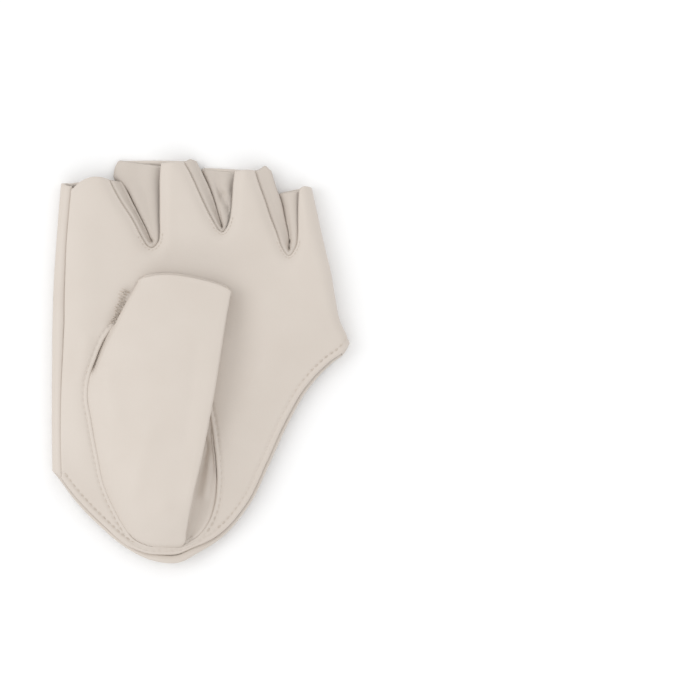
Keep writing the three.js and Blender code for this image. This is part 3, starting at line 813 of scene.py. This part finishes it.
def wall_grid(hand, i):
    """The middle of a gap's wall: rows from the right finger's end, round the gap's bottom, to the left's."""
    end = {name: column[i] for name, column in WALL_ENDS.items()}
    edge = curve(GAPS[i])
    bottom = int(np.argmin(edge[:, 1]))
    seam, turn = slit_line(i, WALL_SEAM)
    t = np.linspace(0, 1, WALL_ROWS) ** 0.85
    grid = []
    for side, high, low in (
        ("right", edge[:bottom + 1], seam[:turn + 1]),
        ("left", edge[bottom:][::-1], seam[turn:][::-1]),
    ):
        wall = {name: column[i] for name, column in WALL_SIDES[side].items()}
        fade = (1 - t) ** wall["fade"]
        top = at_run(high, mix(wall["inset"], run_of(high)[-1], t))
        foot = at_run(low, t * run_of(low)[-1])
        reach = np.linalg.norm(top - foot, axis=1)
        aside = unit(top - foot)
        height = palm_top(top[:, 0], top[:, 1]) - hand.half
        edge_z = height - mix(end["edge"], wall["edge"], fade)
        low_z = height - mix(end["low"], wall["low"], 1 - t)
        roll = np.minimum(mix(WALL_ROLL, wall["roll"], (1 - t) ** 0.5), 0.3 * reach)
        lip = np.minimum(0.6, 0.25 * reach)
        swell = wall["swell"] * (1 - t)

        # Across the wall, from under the palm's edge: how far out from the seam, and how high
        places = [
            (reach + 0.6, edge_z - 1),
            (reach + 0.1, edge_z - 0.35),
            (reach - lip, edge_z),
            (mix(reach - lip, roll, 0.5), mix(edge_z, low_z, 0.4) + swell),
            (roll, low_z),
            (0.3 * roll, low_z - 0.3 * roll),
            (0 * roll, low_z - roll),
            (0 * roll, mix(low_z - roll, WALL_FOOT, 0.3)),
            (0 * roll, mix(low_z - roll, WALL_FOOT, 0.7)),
            (0 * roll, WALL_FOOT + 0 * t),
        ]
        rows = []
        for k in range(len(t)):
            section = [(*(foot[k] + aside[k] * out[k]), z[k]) for out, z in places]
            rows.append(laid_curve(np.array(section), WALL_STOPS, WALL_COLUMNS))
        rows = np.array(rows)
        share = np.linspace(0, 1, rows.shape[1])
        if side == "left":
            near_end = 1 - ease(0, WALL_PEAK, t * run_of(high)[-1])
            peak = end["peak"] * np.exp(-((share / WALL_TURN - end["peak_at"]) / 0.3) ** 2)
            rows[:, :, 1] += near_end[:, None] * peak
        rows[:, :, 2] += folds(WALL_FOLDS, rows[:, :, 0], rows[:, :, 1]) * band(*WALL_SHOWN, share)
        rows[:, :, 2] += folds(SEAM_HOLES, rows[:, :, 0], rows[:, :, 1]) * (1 - ease(0.6, 0.8, share))
        grid.append(rows)
    right, left = grid
    return np.concatenate([right, left[::-1][1:]])


def build_wall(hand, i, name):
    """A gap's wall as a closed mesh object, with rounded edges, and its flat size."""
    grid = wall_grid(hand, i)
    normal = grid_normals(grid)
    down, over = grid_run(grid, 0), grid_run(grid, 1)
    from_end = np.minimum(down, down[-1:] - down)
    from_side = np.minimum(over, over[:, -1:] - over)
    rim = np.clip(np.minimum(from_end, from_side) / hand.half, 0, 1)
    half = (hand.half * np.sqrt(1 - (1 - rim) ** 2))[..., None]
    return grid_shell(name, grid - normal * half, grid + normal * half), grid_size(grid)


# The thumb's leather from seam to seam: how many places give its shape, which of them lie on its left side
# and in the crease, where the leather turns, and how many columns of points go from turn to turn.
THUMB_PLACES = 25
THUMB_LEFT = 3
THUMB_CREASE = 15
THUMB_COLUMNS = (14, 100, 50)
CREASE_COLUMN = sum(THUMB_COLUMNS[:2])
TOP_COLUMNS = (18, 26), (104, 112)  # between which the folds of its top lie
POCKET_COLUMNS = (124, 134), (154, 162)  # between which those of the pocket beside it lie
CREASE_PINCH = 0.22  # how much thinner each face's half of the leather is in the crease
MOUTH_SWELL = 0.12  # how much thicker it is along the turned edge of the thumb's mouth

LOWER_LAYER = 0.6  # how far the thumb's lower layer stands out beyond its mouth
THUMB_TUCK = -0.72  # height, from the palm's face, at which the thumb's leather meets the palm's edge
SLIT_DEPTH = -2.2  # the same where the thumb's edge stands free and a slit shows beside it
LOWER_HEIGHTS = (-0.9, 0.75)  # the same for the thumb's lower layer, inside the opening and beyond it
POCKET_DEPTH = (1.1, 3)  # of the pocket beside the thumb, below the palm: at its wrist end and further up
TUBE_SEAM = (-14, 36)  # x and y to which the tube's own seam runs, under the thumb, from the opening's end

# Where, along the thumb, its shape changes: y at which each change begins and ends
COMES_FREE = (-7, -2.5)  # its left side from the palm
LIFTS = (-5, 8)  # its lower layer from inside the opening on to the palm
SLIT_ENDS = (6, 12)
POCKET_STARTS = (-60, -50)
POCKET_DEEPENS = (-62, -38)
TUBE_CLOSES = 2.5  # how far below the opening's upper end the tube starts to close

# The opening's edge in the palm, from the upper end down the index side and up the other
opening = np.roll(thumb_seam_line, -int(np.argmax(thumb_seam_line[:, 1])), axis=0)
opening_low = int(np.argmin(opening[:, 1]))
opening_left, opening_right = opening[:opening_low + 1][::-1], opening[opening_low:]


def thumb_section(y):
    """Places across the thumb, each as x and height above the palm, from its seam on the index side over the
    top and the crease to its seam on the other side."""
    row = {name: smooth(THUMB["y"], column, y) for name, column in THUMB.items() if name != "y"}
    left, crease = row["left"], row["crease"]
    side, crown, fold = row["side"], row["crown"], row["fold"]
    top_x, top_y = opening[0]
    meet = mix(top_x, TUBE_SEAM[0], ease(top_y, TUBE_SEAM[1], y))
    hole_left = np.where(y > top_y, meet, np.interp(y, opening_left[:, 1], opening_left[:, 0]))
    hole_right = np.where(y > top_y, meet, np.interp(y, opening_right[:, 1], opening_right[:, 0]))

    # The tube is closed beyond the opening, and its left side is free of the palm from the slit on. The
    # pocket shows where the opening reaches out to the right of the crease.
    closed = ease(top_y - TUBE_CLOSES, top_y, y)
    free = ease(*COMES_FREE, y)
    shown = np.maximum(ease(0, 4, hole_right - crease), 1 - ease(*POCKET_STARTS, y))
    under = mix(*LOWER_HEIGHTS, ease(*LIFTS, y))
    deep = mix(*POCKET_DEPTH, ease(*POCKET_DEEPENS, y))
    tuck = mix(mix(THUMB_TUCK, SLIT_DEPTH, free * (1 - ease(*SLIT_ENDS, y))), under, closed)
    start = mix(hole_left, left + 0.8, free)
    base = mix(THUMB_TUCK, side, free)

    def risen(x):
        share = np.clip((x - start) / (crease - start) / 0.8, 0, 1)
        return mix(base, crown, np.sin(math.pi / 2 * share) ** mix(0.75, 0.6, free))

    # Where its left side is free it has a fold there, with the lower layer under it. Where it is sewn down,
    # the same places lie close together beside the seam.
    spread = np.minimum((crease - hole_left) / 34, 1)
    overhang = ease(0, 1.5, hole_left - left)
    folded = [
        (hole_left, tuck),
        (mix(left + 1.1, hole_left, 0.6), mix(mix(tuck, under, 0.4), under, overhang)),
        (left + 1.1, under),
        (left + 0.6, (under + side) / 2),
        (left + 1, side),
        (left + 1.5, risen(left + 1.5)),
        (left + 2.6, risen(left + 2.6)),
    ]
    places = []
    for out, (x, height) in zip((0.12, 0.5, 0.95, 1.5, 2.2, 3, 3.9), folded):
        sewn = hole_left + out * spread
        places.append((mix(sewn, x, free), mix(risen(sewn), height, free)))
    for share in (0.13, 0.24, 0.38, 0.53, 0.68, 0.8, 0.9):
        x = mix(left, crease, share)
        places.append((x, mix(risen(x), fold, ease(0.72, 1, share))))

    def pocket(hidden, seen):
        """A place towards the opening's right edge, from under the thumb or, in the pocket, its crease."""
        return mix(mix(crease - 4, hole_right, hidden), mix(crease, hole_right, seen), shown)

    places += [
        (crease - 1.2, fold + 0.05),
        (crease - 0.55, fold),
        (crease - 0.4, fold - 0.35),
        (crease - 0.7, fold * 0.88 - 0.3),
        (crease - mix(1.5, 1.4, shown), 0.6 * fold),
        (crease - mix(2.2, 1.6, shown), 0.3 * fold),
        (mix(crease - 2.9, crease - 0.9, shown), mix(0.6 * under + 0.12 * fold, 0.08 * fold - deep, shown)),
        (pocket(0.1, 0.3), mix(under, -deep, shown)),
        (pocket(0.5, 0.65), mix(under, -0.6 * deep, shown)),
        (hole_right + mix(0.8, -0.8, shown), mix(under, -0.4 - 0.4 * deep * ease(-52, -36, y), shown)),
        (hole_right - 0.12 * (1 - closed), tuck),
    ]
    return [np.stack([place[part][:, k] for k, place in enumerate(places)], axis=1) for part in (0, 1)]


def thumb_grid(rows):
    """The middle of the thumb's leather, with rows of points at shares of the way from where it goes under
    the hem to its open end."""
    place = np.arange(THUMB_PLACES)
    lower_layer = np.where((place < THUMB_LEFT) | (place > THUMB_CREASE + 3), LOWER_LAYER, 0)
    y = np.repeat(mix(THUMB_END["y"].min(), THUMB_MOUTH["y"].max(), rows)[:, None], THUMB_PLACES, axis=1)
    for _ in range(8):  # the section gives x, and x gives how far the leather reaches
        x, height = thumb_section(y)
        low = smooth(THUMB_END["x"], THUMB_END["y"], x)
        high = smooth(THUMB_MOUTH["x"], THUMB_MOUTH["y"], x) + lower_layer
        y = mix(low, high, rows[:, None])
    x, height = thumb_section(y)
    dip = 1 - np.sqrt(1 - (1 - np.clip((y - low) / 2.2, 0, 1)) ** 2)
    height = mix(height, THUMB_TUCK - 0.4, dip)
    z = palm_top(x, y) + height
    places = np.stack([x, y, z], axis=-1)
    stops = (0, THUMB_LEFT, THUMB_CREASE, THUMB_PLACES - 1)
    grid = np.array([laid_curve(row, stops, THUMB_COLUMNS) for row in places])
    column = np.arange(grid.shape[1])
    for rows_of_folds, columns_between in ((THUMB_FOLDS, TOP_COLUMNS), (POCKET_FOLDS, POCKET_COLUMNS)):
        grid[..., 2] += folds(rows_of_folds, grid[..., 0], grid[..., 1]) * band(*columns_between, column)
    return grid


def build_thumb(hand, name):
    """The thumb as a closed mesh object, and its flat size."""
    under_hem = np.linspace(0, 0.04, 8)[:-1]
    middle = np.linspace(0.04, 0.97, 130)[:-1]
    mouth = 1 - 0.03 * (1 - np.linspace(0, 1, 10)) ** 1.5
    grid = thumb_grid(np.concatenate([under_hem, middle, mouth]))
    normal = grid_normals(grid)
    sewn = np.linalg.norm(grid[:, 0] - grid[:, -1], axis=1) < 1e-3
    shared = unit(normal[sewn, 0] + normal[sewn, -1])
    normal[sewn, 0] = normal[sewn, -1] = shared
    grid[sewn, -1] = grid[sewn, 0]
    from_mouth = np.linalg.norm(grid[-1:] - grid, axis=2)
    column = np.arange(grid.shape[1])
    pinched = CREASE_PINCH * np.exp(-((column - CREASE_COLUMN) / 4) ** 2)
    half = hand.half - pinched + MOUTH_SWELL * (1 - ease(1.4, 2.2, from_mouth))
    half = half * np.sqrt(1 - (1 - np.clip(from_mouth / half, 0, 1)) ** 2)
    outer = grid - normal * half[..., None]
    inner = grid + normal * half[..., None]
    return grid_shell(name, outer, inner), grid_size(grid)


# Sewing
def stitches(name, ends, radius, length=None):
    """Threads that lie on the leather. Each of the ends is a stitch's two points and its normal. Without a
    length, the thread reaches from point to point."""
    around = np.linspace(0, 2 * math.pi, 9)[:-1]
    t = np.linspace(-1, 1, 9)

    # A stitch bows up from the leather, and gets thin where its ends go down into their holes.
    lift = radius * (0.6 - 1.5 * np.abs(t) ** 4)
    thick = radius * np.sqrt(1 - (0.93 * t) ** 6)
    points, faces = [], []
    for a, b, up in ends:
        middle, along = (a + b) / 2, unit(b - a)
        across = unit(np.cross(along, up))
        reach = np.linalg.norm(b - a) if length is None else length
        line = middle + np.outer(t * reach / 2, along) + np.outer(lift, up)
        round_it = np.outer(np.cos(around), across) + np.outer(np.sin(around), up)
        first = len(points) * len(t) * len(around)
        points.append((line[:, None] + thick[:, None, None] * round_it).reshape(-1, 3))
        for r in range(len(t) - 1):
            for c in range(len(around)):
                d = (c + 1) % len(around)
                low, high = first + r * len(around), first + (r + 1) * len(around)
                faces.append((low + c, low + d, high + d, high + c))
        last = first + (len(t) - 1) * len(around)
        faces.append(tuple(first + c for c in reversed(range(len(around)))))
        faces.append(tuple(last + c for c in range(len(around))))
    return new_mesh(name, np.concatenate(points), faces)


def sewn_through(panel, holes):
    """Each stitch's ends and normal, for a thread that goes from hole to hole of the panel's pattern."""
    _, face, normal = panel.layers(holes)
    return [(face[k], face[k + 1], unit(normal[k] + normal[k + 1])) for k in range(len(holes) - 1)]


def sewn_along(panel, lines, pitch):
    """The same for rows of evenly spaced stitches along lines of the panel's pattern."""
    return [end for line in lines for end in sewn_through(panel, even(line, pitch))]


def pieces_of(line, shown):
    """The stretches of a line that are shown, apart from those too short for a stitch."""
    marks = np.flatnonzero(np.diff(np.concatenate([[0], shown.astype(int), [0]])))
    return [line[a:b] for a, b in zip(marks[::2], marks[1::2]) if run_of(line[a:b])[-1] > 2]


HEM_CLEAR = 1.2  # from the closing seam to the first stitch of the wrist's hem
HEM_ROUND = 0.9  # how far round the little finger's side its last one is, as a share of that side's radius
HEM_HIDDEN = (-24, 6)  # x between which the thumb's end hides its stitches
SEAM_CLEAR = 1  # from the thumb's seam to the nearest of them, and from them to the seam's own stitches
THUMB_MIDDLE = -20  # x between the thumb's seam on its left and on its right
THUMB_SEWN = (-1, -16)  # y up to which its stitches show there
FINE_THREAD = 0.8  # thickness of the finger gaps' and the bartack's thread, as a share of the other stitches'
FINGER_PITCH = 1.5
FINGER_STITCH = 1.1
FINGER_EDGE = 1.3  # from the palm's edge to the stitches round a gap's bottom
FINGER_REACH = 7  # along the edge from the gap's bottom to the last stitch on either side
BARTACK = (-33.6, 13), (-28.7, 26.6)  # the ends of the zigzag along the thumb's slit
BARTACK_HOLES = 24
BARTACK_REACH = (1, 2.2)  # to either side, at its two ends


# Materials, with the size of their patterns in metres
MOTTLE = 0.018  # from one faintly darker patch of the leather to the next
GRAIN = 0.0007  # from pebble to pebble of the embossed grain: coarser than its real 0.4 mm, to show at all
TWIST = 0.0008  # from turn to turn of the thread's strands: coarser than their real 0.4 mm, to show at all
WAVE = 0.63  # from wave to wave of a wave pattern whose scale is 1
BUMP_DEPTH = 0.0001  # of the grain and of the twist's ridges


def linear(hex_colour):
    """An sRGB colour, written as hex, in linear numbers."""
    values = [int(hex_colour[i:i + 2], 16) / 255 for i in (0, 2, 4)]
    return tuple(v / 12.92 if v <= 0.04045 else ((v + 0.055) / 1.055) ** 2.4 for v in values)


def add_node(tree, kind, links=(), **settings):
    """Adds a node, sets its properties and inputs, and links its inputs."""
    node = tree.nodes.new(kind)
    for name, value in settings.items():
        if name in node.inputs:
            node.inputs[name].default_value = value
        else:
            setattr(node, name, value)
    for socket, source in dict(links).items():
        tree.links.new(source, node.inputs[socket])
    return node


def new_material(name):
    """A material without nodes, and its node tree."""
    material = bpy.data.materials.new(name)
    material.use_nodes = True
    material.node_tree.nodes.clear()
    return material, material.node_tree


def coated_leather(name, colour, shade):
    """Split leather with a polyurethane coating, which gives it an even colour and a satin sheen. The roller
    that embosses its grain leaves soft pebbles, and the hide's uneven thickness shows as faint mottling."""
    material, tree = new_material(name)
    place = add_node(tree, "ShaderNodeTexCoord").outputs["Object"]
    mottle = add_node(tree, "ShaderNodeTexNoise", {"Vector": place},
                      Scale=1 / MOTTLE, Detail=3, Roughness=0.5)
    tint = add_node(tree, "ShaderNodeMix", {"Factor": mottle.outputs["Fac"]}, data_type="RGBA")
    tint.inputs["A"].default_value = (*colour, 1)
    tint.inputs["B"].default_value = (*shade, 1)
    grain = add_node(tree, "ShaderNodeTexVoronoi", {"Vector": place}, Scale=1 / GRAIN)
    pebbles = add_node(tree, "ShaderNodeBump", {"Height": grain.outputs["Distance"]},
                       Strength=0.15, Distance=BUMP_DEPTH)
    shader = add_node(tree, "ShaderNodeBsdfPrincipled", {
        "Base Color": tint.outputs["Result"],
        "Normal": pebbles.outputs["Normal"],
    }, Roughness=0.5, IOR=1.5)
    add_node(tree, "ShaderNodeOutputMaterial", {"Surface": shader.outputs["BSDF"]})
    return material


def sewing_thread(colour):
    """Polyester sewing thread, spun from short fibres, twisted and dyed: matt, with the twist's ridges."""
    material, tree = new_material("polyester_thread")
    place = add_node(tree, "ShaderNodeTexCoord").outputs["Object"]
    twist = add_node(tree, "ShaderNodeTexWave", {"Vector": place},
                     bands_direction="DIAGONAL", Scale=WAVE / TWIST)
    ridges = add_node(tree, "ShaderNodeBump", {"Height": twist.outputs["Fac"]},
                      Strength=0.4, Distance=BUMP_DEPTH)
    shader = add_node(tree, "ShaderNodeBsdfPrincipled", {"Normal": ridges.outputs["Normal"]},
                      Roughness=0.8, IOR=1.5)
    shader.inputs["Base Color"].default_value = (*colour, 1)
    add_node(tree, "ShaderNodeOutputMaterial", {"Surface": shader.outputs["BSDF"]})
    return material


def paper_floor(colour):
    """A white seamless paper backdrop: matt and even."""
    material, tree = new_material("white_backdrop_paper")
    shader = add_node(tree, "ShaderNodeBsdfPrincipled", Roughness=0.9)
    shader.inputs["Base Color"].default_value = (*colour, 1)
    add_node(tree, "ShaderNodeOutputMaterial", {"Surface": shader.outputs["BSDF"]})
    return material


# Settings that a user would change
def length_setting(name, description, millimetres):
    return FloatProperty(name=name, description=description, default=millimetres * MM, min=0, precision=4,
                         subtype="DISTANCE", unit="LENGTH")


def colour_setting(name, description, hex_colour):
    return FloatVectorProperty(name=name, description=description, default=linear(hex_colour), min=0, max=1,
                               size=3, subtype="COLOR")


class GloveSizes(bpy.types.PropertyGroup):
    leather_thickness: length_setting("Leather thickness", "Thickness of all the leather", 1.2)
    hem_width: length_setting("Hem width", "From the palm's wrist edge to its stitches", 2.2)
    stitch_spacing: length_setting("Stitch spacing", "From one stitch to the next", 2.4)
    stitch_length: length_setting("Stitch length", "Length of thread that shows in a stitch", 1.8)
    thread_thickness: length_setting("Thread thickness", "Thickness of the sewing thread", 0.3)


class GloveColours(bpy.types.PropertyGroup):
    leather: colour_setting("Leather", "Colour of the leather", "cdc4bb")
    leather_shade: colour_setting("Leather, darker", "The darker colour in the leather's mottling", "c7bdb3")
    # the walls' colour is the glove's leather made darker: painted shade for the gaps between the fingers
    walls: colour_setting("Walls", "Colour of the leather between the fingers", "c6bdb4")
    thread: colour_setting("Thread", "Colour of the sewing thread", "c8bdb1")
    floor: colour_setting("Floor", "Colour of the floor", "f4f4f4")


def fit(obj, material):
    """Gives a finished piece its material and its place in the model."""
    obj.data.materials.append(material)
    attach(obj, "root")


def fit_leather(built, material, stands_for):
    """The same for a piece of leather, which also hides the model's part that it stands for. The size to
    which it was cut comes with it but is not used.
    """
    obj, (width, length, area) = built
    fit(obj, material)
    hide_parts(stands_for)


def leather_for(context, slot_name):
    """The glove's leather, for one of its large pieces."""
    colours = context.scene.glove_colours
    return coated_leather(f"coated_leather_{slot_name}", colours.leather, colours.leather_shade)


def wall_leather_painted_shade(context):
    """The leather of the walls: the glove's leather made darker, as painted shade for the gaps between the
    fingers, with a mottling as faint as the glove's.
    """
    colours = context.scene.glove_colours
    shade = [a * b / c for a, b, c in zip(colours.walls, colours.leather_shade, colours.leather)]
    return coated_leather("coated_leather_fourchettes_painted_shade", colours.walls, shade)


def hand_for(context):
    return Hand(context.scene.glove_sizes.leather_thickness / MM)


# The stage, in metres and watts
FLOOR_SIZE = 6
FLOOR_LEVEL = -0.0002  # just below the leather that lies on it
STUDIO_LIGHT = 1.06  # the light from all round
WINDOW_POWER = 5.5
WINDOW_SIZE = 1
WINDOW_PLACE = (-1.2, 0, 1.2)
CAMERA_HEIGHT = 5  # far enough for an almost parallel view
VIEW_WIDTH = 0.266
VIEW_CENTRE = (56.6, 3.6, 0)  # in millimetres on the drawing


# Operators
class BuildPalm(bpy.types.Operator):
    """Cut the palm's leather and bend it over the hand"""
    bl_idname = "glove.palm"
    bl_label = "Palm"

    def execute(self, context):
        palm = palm_panel(hand_for(context), context.scene.glove_sizes)
        fit_leather(palm.build("palm_leather"), leather_for(context, "palm"), "palm_panel")
        return {"FINISHED"}


class BuildBack(bpy.types.Operator):
    """Cut the back's leather and bend it under the hand"""
    bl_idname = "glove.back"
    bl_label = "Back"

    def execute(self, context):
        back = back_panel(hand_for(context), context.scene.glove_sizes)
        fit_leather(back.build("back_leather"), leather_for(context, "back"), "back_panel")
        return {"FINISHED"}


class BuildThumb(bpy.types.Operator):
    """Shape the thumb, folded over the palm"""
    bl_idname = "glove.thumb"
    bl_label = "Thumb"

    def execute(self, context):
        built = build_thumb(hand_for(context), "thumb_leather")
        fit_leather(built, leather_for(context, "thumb"), "thumb")
        return {"FINISHED"}


class BuildWalls(bpy.types.Operator):
    """Shape the walls between the fingers"""
    bl_idname = "glove.walls"
    bl_label = "Walls between the fingers"

    def execute(self, context):
        # the walls get the darker leather, which paints the shade in the gaps between the fingers
        material = wall_leather_painted_shade(context)
        for i, between in enumerate(("index_middle", "middle_ring", "ring_little")):
            built = build_wall(hand_for(context), i, f"fourchette_{between}_leather")
            fit_leather(built, material, f"fourchette_{between}")
        return {"FINISHED"}


class BuildStitching(bpy.types.Operator):
    """Sew the wrist's hem, the thumb's seam and the gaps between the fingers"""
    bl_idname = "glove.stitching"
    bl_label = "Stitching"

    def execute(self, context):
        sizes = context.scene.glove_sizes
        length, radius = sizes.stitch_length / MM, sizes.thread_thickness / MM / 2
        pitch = sizes.stitch_spacing / MM
        hand = hand_for(context)
        palm = palm_panel(hand, sizes)
        thread = sewing_thread(context.scene.glove_colours.thread)

        hem = wrist_moved(1, sizes.hem_width / MM + STITCH_AWAY)
        x, y = hem.T
        start, roll = hand.little_roll(y)
        shown = (x > smooth(SIDES["y"], SIDES["seam"], y) + HEM_CLEAR) & (x < start + HEM_ROUND * roll)
        shown &= (distance(x, y, thumb_seam_line[::12]) > SEAM_CLEAR) & ~inside(hem, [thumb_seam_line])
        shown &= (x < HEM_HIDDEN[0]) | (x > HEM_HIDDEN[1])
        rows = [hand.palm_pattern(row) for row in pieces_of(hem, shown)]
        fit(stitches("stitching_wrist", sewn_along(palm, rows, pitch), radius, length), thread)

        ring = thumb_seam_line - (PALM_EDGES["thumb"]["width"] + STITCH_AWAY) * left_of(thumb_seam_line)
        x, y = ring.T
        shown = distance(x, y, palm_wrist_line[::12]) > sizes.hem_width / MM + SEAM_CLEAR
        shown &= y < np.where(x < THUMB_MIDDLE, *THUMB_SEWN)
        rows = pieces_of(ring, shown)
        fit(stitches("stitching_thumb", sewn_along(palm, rows, pitch), radius, length), thread)

        rows = []
        for edge in map(curve, GAPS):
            run = run_of(edge)
            near = np.abs(run - run[int(np.argmin(edge[:, 1]))]) < FINGER_REACH
            rows.append((edge + FINGER_EDGE * left_of(edge))[near])
        ends = sewn_along(palm, rows, FINGER_PITCH)
        fit(stitches("stitching_fingers", ends, radius * FINE_THREAD, FINGER_STITCH), thread)

        lower, upper = np.array(BARTACK)
        hole = np.arange(BARTACK_HOLES)
        t = hole / hole[-1]
        uneven = 1 + 0.25 * np.sin(hole * 2.4)
        reach = mix(*BARTACK_REACH, t) * uneven * np.where(hole % 2, 1, -1)
        zigzag = mix(lower, upper, t[:, None]) + np.outer(reach, left_of(np.array([lower, upper]))[0])
        fit(stitches("bartack", sewn_through(palm, zigzag), radius * FINE_THREAD), thread)
        return {"FINISHED"}


class BuildStage(bpy.types.Operator):
    """Set up the floor, the lights and the camera"""
    bl_idname = "glove.stage"
    bl_label = "Floor, lights and camera"

    def execute(self, context):
        scene = context.scene
        half = FLOOR_SIZE / 2
        corners = [(-half, -half, 0), (half, -half, 0), (half, half, 0), (-half, half, 0)]
        mesh = bpy.data.meshes.new("floor")
        mesh.from_pydata(corners, [], [(0, 1, 2, 3)])
        mesh.materials.append(paper_floor(scene.glove_colours.floor))
        floor = bpy.data.objects.new("floor", mesh)
        scene.collection.objects.link(floor)
        floor.location.z = FLOOR_LEVEL

        scene.world = bpy.data.worlds.new("studio")
        scene.world.use_nodes = True
        background = scene.world.node_tree.nodes["Background"]
        background.inputs["Color"].default_value = (1, 1, 1, 1)
        background.inputs["Strength"].default_value = STUDIO_LIGHT
        light = bpy.data.lights.new("soft_window", "AREA")
        light.energy = WINDOW_POWER
        light.size = WINDOW_SIZE
        window = bpy.data.objects.new("soft_window", light)
        window.location = WINDOW_PLACE
        window.rotation_euler = Vector(window.location).to_track_quat("Z", "Y").to_euler()
        scene.collection.objects.link(window)

        camera = bpy.data.objects.new("camera", bpy.data.cameras.new("camera"))
        camera.data.lens = camera.data.sensor_width * CAMERA_HEIGHT / VIEW_WIDTH
        centre = (VIEW_CENTRE + SHIFT) * MM
        camera.location = (centre[0], centre[1], CAMERA_HEIGHT)
        scene.collection.objects.link(camera)
        scene.camera = camera
        scene.view_settings.view_transform = "Standard"
        return {"FINISHED"}


OPERATORS = (BuildPalm, BuildBack, BuildThumb, BuildWalls, BuildStitching, BuildStage)
SETTINGS = (GloveSizes, GloveColours)


class GlovePanel(bpy.types.Panel):
    """The glove's settings, and its pieces in the order in which they are made"""
    bl_idname = "VIEW3D_PT_glove"
    bl_label = "Leather Glove"
    bl_space_type = "VIEW_3D"
    bl_region_type = "UI"
    bl_category = "Glove"

    def draw(self, context):
        for settings in (context.scene.glove_sizes, context.scene.glove_colours):
            for name in settings.__annotations__:
                self.layout.prop(settings, name)
        for operator in OPERATORS:
            self.layout.operator(operator.bl_idname)


def register():
    for each in (*SETTINGS, *OPERATORS, GlovePanel):
        bpy.utils.register_class(each)
    bpy.types.Scene.glove_sizes = PointerProperty(type=GloveSizes)
    bpy.types.Scene.glove_colours = PointerProperty(type=GloveColours)


def unregister():
    del bpy.types.Scene.glove_colours
    del bpy.types.Scene.glove_sizes
    for each in reversed((*SETTINGS, *OPERATORS, GlovePanel)):
        bpy.utils.unregister_class(each)


def main():
    register()
    bpy.ops.glove.palm()
    bpy.ops.glove.back()
    bpy.ops.glove.thumb()
    bpy.ops.glove.walls()
    bpy.ops.glove.stitching()
    bpy.ops.glove.stage()


if __name__ == "__main__":
    main()
